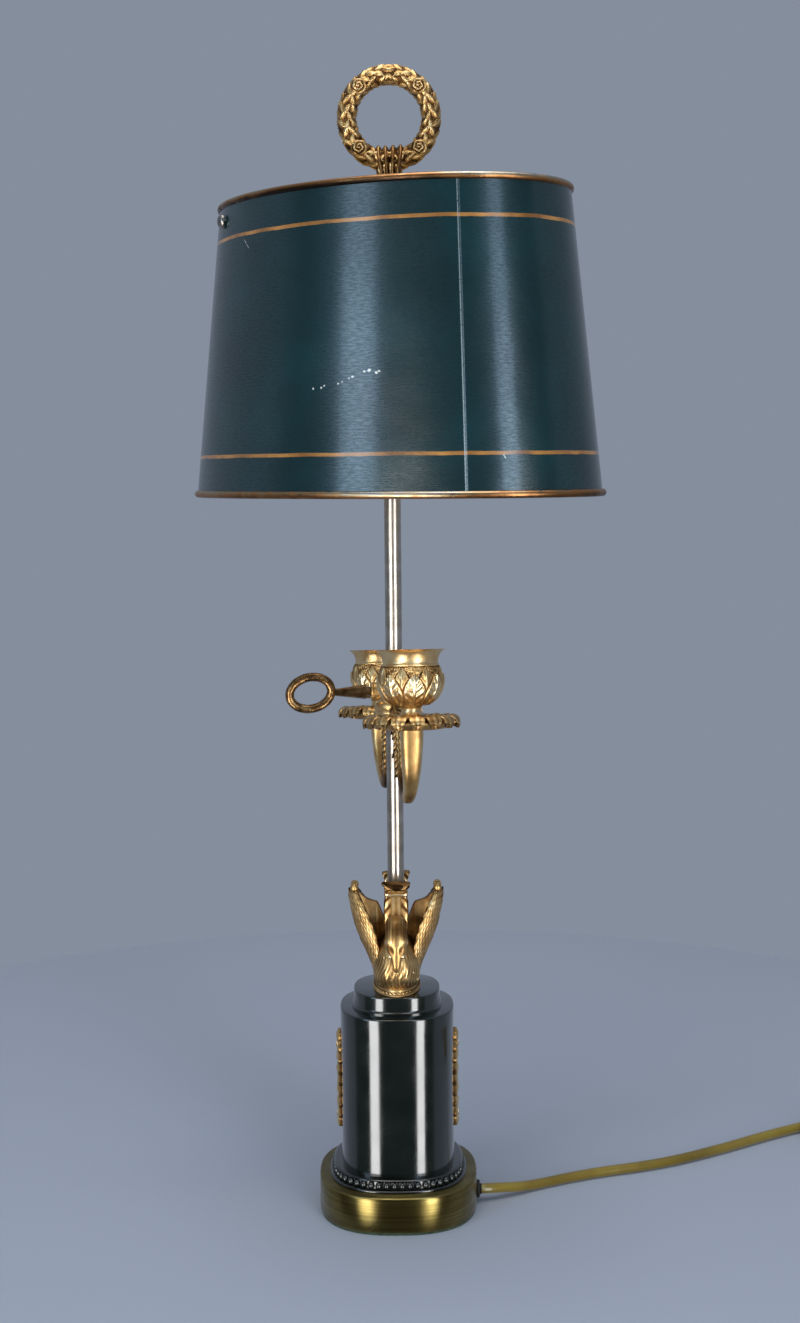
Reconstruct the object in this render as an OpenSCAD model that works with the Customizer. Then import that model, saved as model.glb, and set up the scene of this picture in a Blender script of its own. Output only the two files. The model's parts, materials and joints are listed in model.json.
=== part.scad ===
// Bouillotte lamp with an oval painted-tin shade, two candle arms that slide
// and swing on the stem, a clamping key, a swan group and a round-cornered base.
// Millimetres, +Z up, origin under the stem on the surface that the lamp stands on.
// The front is -Y.

/* [Base] */
// Half width of the brass drum
drum_half = 46; // [44:0.5:56]
// Height of the brass drum
drum_h = 20.3; // [20:0.1:30]
// Wall of the drum
drum_wall = 1.6; // [1.2:0.1:2.4]
// Thickness of the baize pad
pad_t = 1.5; // [1:0.1:3]
// Half width of the ribbed ring
ring_half = 40; // [38:0.5:43]
// Height of the ribbed ring
ring_h = 7.2; // [6:0.1:10]
// Number of ribs round the ring
rib_count = 54; // [36:2:60]
// Half width of the column
column_half = 33; // [29:0.5:36]
// Height of the column
column_h = 92.3; // [75:0.5:120]
// Half width of the step on the column
step_half = 25; // [25:0.5:28]
// Height of the step on the column
step_h = 10.4; // [8:0.1:14]
// Squareness of the base outlines: 2 is an ellipse, more is squarer
squareness = 2.5; // [2:0.1:3]

/* [Stem] */
// Outside diameter of the stem tube
stem_d = 9.5; // [9:0.1:11.5]
// Wall of the stem tube
stem_wall = 1; // [0.8:0.1:1.2]
// Height of the stem's top end
stem_top = 446; // [430:1:460]

/* [Swans] */
// Half width of the swan plinth
plinth_x = 14; // [13.5:0.1:15]
// Half depth of the swan plinth
plinth_y = 24; // [23.5:0.1:24.5]
// Height of the swan plinth
plinth_h = 4.4; // [3:0.1:6]
// Thickness of a cast wing
wing_t = 1.6; // [1.2:0.1:2.2]

/* [Candle arms] */
// Height of the clamping key's axis
key_z = 304.8; // [290:0.5:330]
// Distance from the stem to each cup's axis
arm_reach = 77; // [70:0.5:90]
// Turn of the arms from front-to-back
arm_turn = 6.8; // [-90:0.1:90]
// Lean of the arm casting on its loose sleeve, front end up
arm_lean = 6; // [0:0.5:7]
// Radius of a drip pan
pan_r = 25; // [23:0.5:28]
// Number of lobes round a drip pan
pan_lobes = 16; // [12:2:20]
// Radius of a cup's lip
cup_r = 18.8; // [18:0.1:22.5]
// Wall of a cup
cup_wall = 1.6; // [1.2:0.1:2]
// Wall of the split sleeve on the stem
sleeve_wall = 0.75; // [0.6:0.05:1.1]

/* [Clamping key] */
// Length of the key's ring
key_ring_l = 29; // [24:0.5:34]
// Height of the key's ring
key_ring_h = 23; // [20:0.5:28]
// Diameter of the key ring's bar
key_bar_d = 4.5; // [4:0.1:5.5]

/* [Shade] */
// Height of the bottom rim above the table
shade_z = 415.5; // [410:0.5:425]
// Height of the shade
shade_h = 165; // [150:0.5:195]
// Half length of the oval at the top
shade_top_a = 108; // [102:0.5:114]
// Half width of the oval at the top
shade_top_b = 70; // [66:0.5:84]
// Half length of the oval at the bottom
shade_low_a = 127; // [120:0.5:140]
// Half width of the oval at the bottom
shade_low_b = 82.5; // [78:0.5:98]
// Turn of the oval's long axis from left-to-right
shade_turn = -35; // [-90:1:90]
// Thickness of the painted sheet
sheet_t = 1; // [0.8:0.1:1.2]
// Diameter of the rolled rims
rim_d = 4; // [3.4:0.1:5]
// Direction of the cross bar
bar_turn = -3; // [-30:1:30]

/* [Finial] */
// Outside diameter of the wreath
wreath_d = 58; // [50:0.5:66]
// Diameter of the wreath's hole
wreath_hole_d = 35; // [30:0.5:38]

/* [Lampholders] */
// Distance from the stem to each lampholder's axis
holder_reach = 38; // [34:0.5:42]
// Diameter of the rod that carries the shade
rod_d = 6; // [5:0.1:7]

/* [Cord] */
// Diameter of the cord
cord_d = 6; // [5:0.1:6.3]
// Radius of the coil at the middle of its turns
coil_r = 32; // [30:0.5:36]

/* [Hidden] */
$fn = 64;

// Clearances
fit = 0.05;      // running fit, radial
loose = 0.1;     // assembled fit in one body, radial
gap = 0.3;       // between bodies that move past each other

// Stack of the base and column
z_drum = pad_t;
z_ring = z_drum + drum_h;
z_column = z_ring + ring_h;
z_step = z_column + column_h;
z_plinth = z_step + step_h;
z_swan = z_plinth + plinth_h;
drum_top = 2;
stem_r = stem_d / 2;
stem_bore_r = stem_r - stem_wall;
washer_t = 1.5;
nut_t = 5;
z_washer = z_ring - drum_top - washer_t;
z_nut = z_washer - nut_t;
stem_bottom = z_nut - 1.2;
weight_t = 6.6;

// Fasteners and shafts
pin_r = 0.9;
key_thread_r = 3;
cup_screw_r = 2;
cup_screw_grip = 7;
shade_screw_r = 1.5;
knob_shaft_r = 1.5;

// Arm casting, in its own frame: origin where the key's axis meets the stem's
hub_wall = 4;
hub_low = -15.5;
hub_high = 8;
sleeve_r = stem_r + sleeve_wall;
hub_bore_r = sleeve_r / cos(arm_lean) + max(-hub_low, hub_high) * tan(arm_lean) + gap;
hub_r = hub_bore_r + hub_wall;
boss_end = hub_r + 2;
pan_low = -19;
pan_top = -11;

// Shade
shade_top_z = shade_z + shade_h;
bar_z = shade_top_z - 8;
bar_t = 2;
bar_w = 12;
screw_z = bar_z - 3.5;
rod_r = rod_d / 2;
rod_top = bar_z + bar_t + 13;
rod_low = stem_top + 2;
rest_t = 4;
wreath_z = bar_z + bar_t + 19.8 + wreath_d / 2;

// Lampholders
holder_z = stem_top + 8;
holder_r = 12.5;
holder_h = 36;
cap_r = 6.9;
cap_rise = 11;
cap_h = 26;
knob_rise = 6;

// Cord on the table, from the bushing to the coil and from the coil to the plug
cord_r = cord_d / 2;
cord_exit_z = 7.5;
cord_route = [[43, 0, 7.5], [49, 0, 7.5], [55, 1.4, 7.2], [62, 4.4, 6.2], [69, 8, 4.8], [76, 12, 3.6],
    [84, 16.2, 3],
    [98, 23, 3], [112, 29, 3], [126, 34, 3], [140, 38, 3], [154, 42.5, 3], [168, 48, 3],
    [182, 55, 3], [196, 63, 3], [210, 71, 3], [224, 80, 3], [238, 88.5, 3], [252, 96.5, 3],
    [264, 102.5, 3], [273, 107, 3]];
coil_at = [308, 82];
tail_route = [[346, 64, 3], [345.5, 58, 3.3], [344, 50, 4.6], [342, 42, 6.4], [340.5, 37, 7], [340, 34, 7]];
plug_at = [340, 34, 7];
coil_w = 18;
coil_h = 18;

// Points of a round-cornered outline with half widths a and b
function sgnpow(v, p) = sign(v) * pow(abs(v), p);
function outline(a, b, steps = 96) = [for (i = [0:steps - 1])
    let (t = 360 * i / steps)
    [a * sgnpow(cos(t), 2 / squareness), b * sgnpow(sin(t), 2 / squareness)]];

// The same outline with ribs of the given height standing on it
function ribbed(half, ribs, rise, per = 6) = [for (i = [0:ribs * per - 1])
    let (t = 360 * (i + 0.5) / (ribs * per), r = 1 + rise / half * abs(sin(t * ribs / 2)))
    [half * r * sgnpow(cos(t), 2 / squareness), half * r * sgnpow(sin(t), 2 / squareness)]];

// Radius of an ellipse in the direction t
function oval_r(a, b, t) = a * b / sqrt(pow(b * cos(t), 2) + pow(a * sin(t), 2));

// A solid through a list of rings of points, all wound the same way
module skin(rings, loop = false) {
    n = len(rings[0]);
    m = len(rings);
    last = loop ? m : m - 1;
    sides = [for (i = [0:last - 1], k = [0:n - 1])
        [i * n + k, (i + 1) % m * n + k, (i + 1) % m * n + (k + 1) % n, i * n + (k + 1) % n]];
    caps = loop ? [] : [[for (k = [0:n - 1]) k], [for (k = [n - 1:-1:0]) (m - 1) * n + k]];
    polyhedron([for (r = rings) each r], concat(sides, caps));
}

function unit(v) = v / norm(v);
function heading(p, i) = unit(p[min(i + 1, len(p) - 1)] - p[max(i - 1, 0)]);

// Rings across a path, w wide along the side direction and h high across it
function tube_rings(path, w, h, up, sides) = [for (i = [0:len(path) - 1])
    let (d = heading(path, i), s = unit(cross(up, d)), u = cross(d, s))
    [for (k = [0:sides - 1]) let (t = 360 * (k + 0.5) / sides)
        path[i] + s * w[i] * cos(t) + u * h[i] * sin(t)]];

module bar(path, w, h, up = [0, 0, 1], sides = 12) {
    skin(tube_rings(path, w, h, up, sides));
}

module cord(path, r, sides) {
    bar(path, [for (p = path) r], [for (p = path) r], [0, 0, 1], sides);
}

module slab(half, h) {
    linear_extrude(h) polygon(outline(half, half));
}

// A moulding through rows of half width and height
module moulded(rows) {
    skin([for (r = rows) [for (p = outline(r[0], r[0])) [p[0], p[1], r[1]]]]);
}

// A hole for the stem through everything that it passes
module stem_hole(z, h) {
    translate([0, 0, z]) cylinder(r = stem_r + loose, h = h);
}

// ---- Base ----

module felt_pad() {
    color("#3c4a36") slab(drum_half - 0.5, pad_t);
}

module base_weight() {
    color("#4a4a4c") translate([0, 0, z_ring - drum_top - weight_t]) difference() {
        slab(drum_half - drum_wall - 1, weight_t);
        translate([0, 0, -1]) cylinder(r = 15, h = weight_t + 2);
    }
}

module base_drum() {
    bevel = 1.1;
    color("#7a6434") difference() {
        moulded([[drum_half, z_drum], [drum_half, z_ring - bevel], [drum_half - bevel, z_ring]]);
        translate([0, 0, z_drum - 1]) slab(drum_half - drum_wall, drum_h - drum_top + 1);
        stem_hole(z_drum, drum_h + 1);
        translate([drum_half - 6, 0, cord_exit_z]) rotate([0, 90, 0])
            cylinder(r = cord_r + 1.5, h = 8);
    }
}

module gadroon_ring() {
    foot = 1.6;
    ledge = 3.4;
    color("#181c1a") difference() {
        translate([0, 0, z_ring]) union() {
            slab(ring_half, foot);
            translate([0, 0, foot])
                linear_extrude(ring_h - 2 * foot) polygon(ribbed(ring_half - ledge, rib_count, ledge - 1));
            translate([0, 0, ring_h - foot]) slab(ring_half - ledge, foot);
        }
        stem_hole(z_ring - 1, ring_h + 2);
    }
}

module column() {
    edge = 0.8;
    color("#16201c") difference() {
        moulded([[column_half, z_column], [column_half, z_step - edge], [column_half - edge, z_step]]);
        stem_hole(z_column - 1, column_h + 2);
        side_pins(pin_r + loose, 0);
    }
}

module column_step() {
    foot = 1.4;
    edge = 0.8;
    cove = [for (t = [0:30:90]) [step_half + foot * (1 - sin(t)), z_step + foot + foot * (1 - cos(t))]];
    color("#16201c") difference() {
        moulded(concat([[step_half + foot, z_step]], cove,
            [[step_half, z_plinth - edge], [step_half - edge, z_plinth]]));
        stem_hole(z_step - 1, step_h + 2);
    }
}

// ---- Gilt mounts on the column's sides ----

mount_low = z_column + 18;
mount_h = column_h - 33.3;
strip_t = 1.2;
husk_t = 2;
pin_rise = [8, mount_h - 9];

module side_pins(r, head) {
    depth = 6;
    for (turn = [0, 180], rise = pin_rise)
        rotate([0, 0, turn]) translate([column_half, 0, mount_low + rise]) rotate([0, 90, 0]) {
            translate([0, 0, -depth]) cylinder(r = r, h = depth + husk_t);
            if (head > 0) translate([0, 0, husk_t]) cylinder(r = head, h = 0.8);
        }
}

// Half width of the foliate strip at the share u of its height
function strip_half(u) = 4 + 3 * sin(180 * u) + 1.2 * abs(sin(900 * u));

// A row of husks standing on a flat foliate strip
module side_mount() {
    steps = 40;
    husks = 6;
    color("#c9a04e") difference() {
        translate([column_half, 0, mount_low]) rotate([90, 0, 90]) union() {
            linear_extrude(strip_t) polygon([
                for (i = [0:steps]) [strip_half(i / steps), mount_h * i / steps],
                for (i = [steps:-1:0]) [-strip_half(i / steps), mount_h * i / steps]]);
            linear_extrude(husk_t) for (i = [0:husks - 1])
                translate([0, mount_h * (i + 0.5) / husks]) circle(r = 3.4, $fn = 24);
        }
        side_pins(pin_r + loose, 0);
    }
}

module side_mount_right() {
    side_mount();
}

module side_mount_left() {
    rotate([0, 0, 180]) side_mount();
}

module side_mount_pins() {
    color("#c9a04e") side_pins(pin_r, 1.6);
}

// ---- Stem ----

module stem_washer() {
    color("#b8b4a8") translate([0, 0, z_washer]) difference() {
        cylinder(r = 11, h = washer_t);
        translate([0, 0, -1]) cylinder(r = stem_r + loose, h = washer_t + 2);
    }
}

module stem_nut() {
    color("#b8b4a8") translate([0, 0, z_nut]) difference() {
        cylinder(r = 9, h = nut_t, $fn = 6);
        translate([0, 0, -1]) cylinder(r = stem_r + loose, h = nut_t + 2);
    }
}

module stem_tube() {
    color("#c4c0b8") translate([0, 0, stem_bottom]) difference() {
        cylinder(r = stem_r, h = stem_top - stem_bottom);
        translate([0, 0, -1]) cylinder(r = stem_bore_r, h = stem_top - stem_bottom + 2);
    }
}

// The supply lead from the bushing, under the stem and up inside it
module inner_lead() {
    turn = 8;
    low = 5;
    lead_r = 2;
    top = stem_top - 20;
    start = cord_route[0][0];
    lead = concat([[start, 0, cord_exit_z], [start - 3, 0, cord_exit_z], [start - 8, 0, cord_exit_z - 1],
        [start - 14, 0, low + 0.3], [start / 2, 0, low]],
        [for (t = [0:15:90]) [turn - turn * sin(t), 0, low + turn - turn * cos(t)]],
        [[0, 0, top]]);
    thick = [for (p = lead) lead_r];
    color("#a08a3c") bar(lead, thick, thick, [0, 1, 0], 8);
}

// ---- Swan group ----

module swan_plinth() {
    color("#c49a45") difference() {
        union() {
            translate([0, 0, z_plinth]) linear_extrude(plinth_h * 0.6)
                polygon([for (t = [0:5:355]) [plinth_x * cos(t), plinth_y * sin(t)]]);
            translate([0, 0, z_plinth + plinth_h * 0.6]) linear_extrude(plinth_h * 0.4)
                polygon([for (t = [0:5:355]) [(plinth_x - 1) * cos(t), (plinth_y - 1) * sin(t)]]);
        }
        stem_hole(z_plinth - 1, plinth_h + 2);
    }
}

// Body, neck and head: half width, centre y, half depth at each height
swan_body = [[-3, 10.6, -11, 9.4], [0, 11.5, -11.5, 10], [4, 12.8, -12, 11.2], [9, 13.2, -12.5, 11.8],
    [15, 12, -12.8, 11.2], [21, 10, -12.5, 9.4], [26, 7.6, -12.5, 7.2], [30.4, 5.8, -13, 5.6]];
neck_path = [[0, -13, 28], [0, -13.2, 32], [0, -14.5, 35.5], [0, -17.5, 37], [0, -20.5, 35.5],
    [0, -22.6, 32], [0, -24, 28], [0, -25, 23.5], [0, -25.8, 19], [0, -26.2, 14.5], [0, -26, 11]];
neck_w = [4.6, 4.4, 4.2, 4, 4, 4.2, 4.2, 3.4, 2.2, 1.7, 1];
neck_h = [6, 6.2, 6.1, 5.9, 5.8, 6, 6.2, 5.2, 3.2, 2.3, 1.3];

// Wing rings: height, front edge x and y, side edge x
wing_stations = [[-3, 10.4, -9.4, 12.2], [2, 10.5, -10.6, 12.9], [8, 10.2, -13, 14], [16, 9.2, -15, 17],
    [24, 9.2, -15.2, 20.5], [32, 10, -14.6, 23.2], [40, 12.4, -12.6, 25.2], [47, 17, -9, 26.4],
    [52, 21, -5.4, 26.6], [55, 23, -3.2, 26.2], [57.5, 24.4, 1, 25.6]];

// A wing's cross-section at one height: a quarter oval that runs on past the joint between the two halves
function wing_ring(s, side) = let (steps = 8, past = 1.5,
    arc = [for (i = [0:steps]) let (t = 90 * i / steps)
        [s[1] + (s[3] - s[1]) * sin(t), s[2] * cos(t) + past * sin(t), s[0]]],
    inner = [for (i = [steps:-1:0]) let (p = arc[i])
        [p[0] - wing_t * (0.4 + 0.6 * i / steps), p[1] + wing_t * (1 - i / steps), p[2]]],
    ring = concat(arc, inner))
    side > 0 ? ring : [for (i = [len(ring) - 1:-1:0]) [-ring[i][0], ring[i][1], ring[i][2]]];

// The acanthus leaf that rises behind the head and curls over to the front
leaf_path = [[0, -8.6, 24], [0, -8.2, 32], [0, -8, 42], [0, -8.2, 50], [0, -9.4, 56], [0, -12.2, 59.4],
    [0, -15.2, 59], [0, -16.4, 56.4]];
leaf_t = 1.05;
leaf_w = [5, 6.4, 6.8, 6.2, 6.6, 7.8, 7.6, 5];

module swan() {
    color("#c49a45") translate([0, 0, z_swan]) difference() {
        union() {
            skin([for (s = swan_body) [for (t = [0:15:345]) [s[1] * cos(t), s[2] + s[3] * sin(t), s[0]]]]);
            bar(neck_path, neck_w, neck_h, [1, 0, 0], 12);
            for (side = [-1, 1]) skin([for (s = wing_stations) wing_ring(s, side)]);
            bar(leaf_path, [for (w = leaf_w) leaf_t], leaf_w, [1, 0, 0], 10);
        }
        translate([0, 0, -1]) cylinder(r = stem_r + 0.6, h = 70);
        translate([-40, -0.1, -10]) cube([80, 40, 90]);
        translate([-40, -40, -10]) cube([80, 80, 10]);
    }
}

module swan_front() {
    swan();
}

module swan_back() {
    rotate([0, 0, 180]) swan();
}

// ---- Candle arms ----

// Puts a piece of the leaning arm casting in its place
module on_arms() {
    translate([0, 0, key_z]) rotate([0, 0, arm_turn]) rotate([-arm_lean, 0, 0]) children();
}

// Front (turn 0) or back (turn 180) end of the casting
module at_cup(turn) {
    on_arms() rotate([0, 0, turn]) translate([0, -arm_reach, 0]) children();
}

module arm_sleeve() {
    low = -18.8;
    high = 13;
    flange_r = 9.4;
    flange_t = 1.5;
    color("#b98f3e") translate([0, 0, key_z]) difference() {
        union() {
            translate([0, 0, low]) cylinder(r = sleeve_r, h = high - low);
            translate([0, 0, low]) cylinder(r = flange_r, h = flange_t);
        }
        translate([0, 0, low - 1]) cylinder(r = stem_r + fit, h = high - low + 2);
        translate([0, -0.6, low - 1]) cube([20, 1.2, high - low + 2]);
    }
}

// Beads turned on the hub's lower end: depth below its full radius, and height above its lower end
hub_turning = [[1.9, 0], [0.5, 1.1], [0, 2.5], [0, 4], [0.7, 4.9], [0, 6.1], [0, 7.9], [1.5, 9.1]];

// Centre line of one arm: out and down from the hub, then in from the cup's axis and up to the pan
near_hub = [[hub_bore_r + 2, -11], [hub_r + 3.5, -11], [20.5, -13.8], [24.8, -20.2], [27.4, -29],
    [31, -39], [37, -48.5]];
near_cup = [[31, -55], [21, -56], [12, -51.5], [5.2, -43], [1.4, -33], [0, -25], [0, pan_low]];
arm_path = concat([for (p = near_hub) [0, -p[0], p[1]]], [for (p = near_cup) [0, p[0] - arm_reach, p[1]]]);
arm_half_w = [4.4, 4, 3.8, 3.6, 3.5, 3.4, 3.3, 3.1, 3.2, 3.8, 4.7, 5.5, 6, 6.2];
arm_half_t = [3.4, 3.4, 3.3, 3.2, 3.2, 3.3, 3.4, 3.4, 3.4, 3.4, 3.5, 3.8, 4.4, 5];

module arm_casting() {
    color("#c49a45") on_arms() difference() {
        union() {
            rotate_extrude() polygon(concat([[0, hub_low]],
                [for (p = hub_turning) [hub_r - p[0], hub_low + p[1]]],
                [[hub_r - 1.5, hub_high - 2], [hub_r - 2.1, hub_high], [0, hub_high]]));
            rotate([0, -90, 0]) cylinder(r = 5.4, h = boss_end);
            for (turn = [0, 180]) rotate([0, 0, turn])
                bar(arm_path, arm_half_t, arm_half_w, [1, 0, 0], 12);
        }
        translate([0, 0, hub_low - 12]) cylinder(r = hub_bore_r, h = 40);
        rotate([0, -90, 0]) cylinder(r = key_thread_r + fit, h = boss_end + 6);
        for (turn = [0, 180]) rotate([0, 0, turn]) translate([0, -arm_reach, pan_low - cup_screw_grip - 0.5])
            cylinder(r = cup_screw_r + loose, h = 10);
    }
}

module drip_pan(turn) {
    color("#c49a45") at_cup(turn) difference() {
        union() {
            rotate_extrude() polygon([[0, pan_low], [pan_r - 13, pan_low], [pan_r - 5, pan_low + 1],
                [pan_r - 3, pan_low + 3], [pan_r - 3, pan_low + 5], [pan_r - 13, pan_low + 4],
                [8, pan_top], [0, pan_top]]);
            for (i = [0:pan_lobes - 1]) rotate([0, 0, 360 * (i + 0.5) / pan_lobes])
                translate([pan_r - 4, 0, pan_low + 4]) sphere(r = 4, $fn = 24);
        }
        translate([0, 0, pan_low - 1]) cylinder(r = cup_screw_r + loose, h = 20);
    }
}

module pan_front() {
    drip_pan(0);
}

module pan_back() {
    drip_pan(180);
}

// Outside of a cup from its foot to the lip: radius and height
cup_h = 34.6;
cup_floor = 11;
cup_neck = [[6.4, 0], [5.3, 2.3], [5.6, 4.4], [7, 5.4]];
// Belly and flared lip: distance inside the lip's radius, and height
cup_belly = [[9.2, 7], [5.4, 9.6], [3, 13.4], [2.1, 17.4], [2.4, 21.6], [3.4, 25], [4, 27.2], [3.9, 29.4],
    [3, 31.8], [1.4, 33.8], [0, cup_h]];
cup_outside = [for (p = cup_belly) [cup_r - p[0], p[1]]];

module candle_cup(turn) {
    color("#c49a45") at_cup(turn) translate([0, 0, pan_top]) difference() {
        rotate_extrude() polygon(concat([[0, 0]], cup_neck, cup_outside, [[0, cup_h]]));
        rotate_extrude() polygon(concat(
            [[0, cup_floor], [cup_outside[2][0] - cup_wall - 2.6, cup_floor]],
            [for (p = cup_outside) if (p[1] > cup_floor) [p[0] - cup_wall, p[1] + 0.6]],
            [[0, cup_h + 0.6]]));
        translate([0, 0, -1]) cylinder(r = cup_screw_r + loose, h = 20);
    }
}

module cup_front() {
    candle_cup(0);
}

module cup_back() {
    candle_cup(180);
}

module cup_screws() {
    color("#b98f3e") for (turn = [0, 180]) at_cup(turn) {
        translate([0, 0, pan_low - cup_screw_grip])
            cylinder(r = cup_screw_r, h = cup_screw_grip + pan_top + cup_floor - pan_low);
        translate([0, 0, pan_top + cup_floor]) cylinder(r = 4.5, h = 2.2);
    }
}

// ---- Clamping key ----

module clamp_key() {
    collar = boss_end + gap;
    tip = sleeve_r + gap;
    neck_x = 34;
    neck_r = 2;
    ring_steps = 32;
    ring_a = (key_ring_l - key_bar_d) / 2;
    ring_b = (key_ring_h - key_bar_d) / 2;
    ring_path = [for (i = [0:ring_steps - 1]) let (t = 360 * i / ring_steps)
        [ring_a * cos(t), 0, ring_b * sin(t)]];
    color("#7a5a30") translate([0, 0, key_z]) rotate([0, 0, arm_turn]) rotate([0, 0, 180]) {
        translate([tip, 0, 0]) rotate([0, 90, 0]) cylinder(r = key_thread_r, h = collar - tip + 0.5);
        translate([collar, 0, 0]) rotate([0, 90, 0]) cylinder(r = 2.6, h = 3);
        translate([collar + 2.4, 0, 0]) rotate([0, 90, 0]) rotate([0, 0, 22.5])
            cylinder(r1 = 4.2, r2 = neck_r, h = neck_x - collar - 2, $fn = 8);
        translate([neck_x + key_ring_l / 2 - 0.6, 0, 0]) rotate([0, 12, 0])
            skin([for (i = [0:ring_steps - 1])
                let (d = unit(ring_path[(i + 1) % ring_steps] - ring_path[(i + ring_steps - 1) % ring_steps]),
                    u = cross([0, 1, 0], d))
                [for (t = [0:45:315])
                    ring_path[i] + key_bar_d / 2 * (cos(t) * u + sin(t) * [0, 1, 0])]], true);
    }
}

// ---- Lampholders ----

module cluster() {
    color("#b08a40") difference() {
        union() {
            translate([0, 0, stem_top - 12]) rotate_extrude() polygon([[0, 0], [7.5, 0], [9, 2], [9, 8],
                [12, 12], [13, 16], [12, 20], [9, 23], [7, 24], [7, 28], [0, 28]]);
            for (turn = [0, 180]) rotate([0, 0, turn]) {
                translate([8, 0, stem_top + 4]) rotate([0, 90, 0]) cylinder(r = 3.2, h = holder_reach - 8);
                translate([holder_reach, 0, stem_top]) cylinder(r = 7, h = holder_z - stem_top);
            }
        }
        translate([0, 0, stem_top - 13]) cylinder(r = stem_r + loose, h = 13);
        translate([0, 0, stem_top + 2]) cylinder(r = rod_r + loose, h = 20);
        translate([0, 0, stem_top - 1]) cylinder(r = 2.2, h = 6);
    }
}

module lampholder(turn) {
    color("#c2a14f") rotate([0, 0, turn]) translate([holder_reach, 0, holder_z]) difference() {
        rotate_extrude() polygon([[0, 0], [9, 0], [11, 2], [holder_r, 5], [holder_r, 18],
            [holder_r - 0.9, 19], [holder_r - 0.9, holder_h - 2], [holder_r - 1.5, holder_h],
            [0, holder_h]]);
        translate([0, 0, cap_rise - 1]) cylinder(r = cap_r + 0.4, h = holder_h);
        translate([0, -20, knob_rise]) rotate([-90, 0, 0]) cylinder(r = knob_shaft_r + fit, h = 16);
    }
}

module holder_right() {
    lampholder(0);
}

module holder_left() {
    lampholder(180);
}

// Turn switch on the side of a lampholder
module turn_knob(turn) {
    color("#3a2c20") rotate([0, 0, turn]) translate([holder_reach, 0, holder_z + knob_rise]) {
        translate([0, -20, 0]) rotate([-90, 0, 0]) cylinder(r = knob_shaft_r, h = 14);
        translate([0, -21, 0]) rotate([-90, 0, 0]) cylinder(r = 3, h = 5);
        translate([-5, -29, -1.6]) cube([10, 9, 3.2]);
    }
}

module holder_knob_right() {
    turn_knob(0);
}

module holder_knob_left() {
    turn_knob(180);
}

module bulb_caps() {
    color("#c8c4b8") for (turn = [0, 180]) rotate([0, 0, turn])
        translate([holder_reach, 0, holder_z + cap_rise]) {
            cylinder(r = cap_r, h = cap_h);
            translate([0, 0, -1]) cylinder(r = 2.5, h = 2);
        }
}

module bulb_globes() {
    color("#f2eee0") for (turn = [0, 180]) rotate([0, 0, turn])
        translate([holder_reach, 0, holder_z + cap_rise + cap_h]) rotate_extrude()
            polygon([[0, 0], [7.4, 0], [8.6, 3], [12, 9], [15.4, 17], [17.3, 26], [17.2, 34], [15, 43],
                [11.4, 52], [7.2, 60], [3.4, 66], [0, 69]]);
}

module shade_rod() {
    color("#b08a40") translate([0, 0, rod_low]) cylinder(r = rod_r, h = rod_top - rod_low);
}

module shade_rest_nut() {
    color("#b08a40") translate([0, 0, bar_z - gap - rest_t]) difference() {
        cylinder(r = 9, h = rest_t);
        translate([0, 0, -1]) cylinder(r = rod_r + loose, h = rest_t + 2);
    }
}

// ---- Shade ----

function wall_a(z) = shade_low_a + (shade_top_a - shade_low_a) * (z - shade_z) / shade_h;
function wall_b(z) = shade_low_b + (shade_top_b - shade_low_b) * (z - shade_z) / shade_h;
shade_steps = 72;

function oval_ring(a, b, z) = [for (i = [0:shade_steps - 1]) let (t = 360 * i / shade_steps)
    [a * cos(t), b * sin(t), z]];

// Where a line across the oval, turned by t and h to the side of the middle, meets the ellipse
function chord(a, b, t, h) = let (
    p = pow(cos(t) / a, 2) + pow(sin(t) / b, 2),
    q = 2 * h * sin(t) * cos(t) * (1 / pow(b, 2) - 1 / pow(a, 2)),
    r = pow(h * sin(t) / a, 2) + pow(h * cos(t) / b, 2) - 1)
    (sqrt(q * q - 4 * p * r) - q) / (2 * p);

// The cross bar ends inside the sheet, whose wall slants and runs oblique to it
bar_dir = bar_turn - shade_turn;
bar_hook = 8;
wall_reach = oval_r(wall_a(screw_z), wall_b(screw_z), bar_dir);
bar_half = min([for (h = [-bar_w / 2, bar_w / 2])
    chord(wall_a(bar_z + bar_t) - sheet_t, wall_b(bar_z + bar_t) - sheet_t, bar_dir, h)]) - gap;

module along_bar() {
    for (turn = [0, 180]) rotate([0, 0, bar_turn + turn]) children();
}

// The screws stand square to the oval where the bar meets it, so they run oblique to the bar
screw_skew = atan2(sin(bar_dir) * pow(wall_a(screw_z), 2), cos(bar_dir) * pow(wall_b(screw_z), 2)) - bar_dir;

module at_screws() {
    along_bar() translate([wall_reach, 0, screw_z]) rotate([0, 0, screw_skew]) rotate([0, 90, 0]) children();
}

module shade_shell() {
    low = shade_z + rim_d - 0.15;
    high = shade_top_z - rim_d + 0.15;
    t = sheet_t;
    color("#17343a") difference() {
        rotate([0, 0, shade_turn]) skin([oval_ring(wall_a(low), wall_b(low), low),
            oval_ring(wall_a(high), wall_b(high), high),
            oval_ring(wall_a(high) - t, wall_b(high) - t, high),
            oval_ring(wall_a(low) - t, wall_b(low) - t, low)], true);
        at_screws() translate([0, 0, -5]) cylinder(r = shade_screw_r + 0.2, h = 10);
    }
}

module rim(z) {
    a = wall_a(z) - sheet_t / 2;
    b = wall_b(z) - sheet_t / 2;
    r = rim_d / 2;
    color("#b5835a") rotate([0, 0, shade_turn]) skin([for (k = [0:7]) let (t = 22.5 + 45 * k)
        oval_ring(a + r * cos(t), b + r * cos(t), z + r * sin(t))], true);
}

module shade_bottom_rim() {
    rim(shade_z + rim_d / 2);
}

module shade_top_rim() {
    rim(shade_top_z - rim_d / 2);
}

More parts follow.
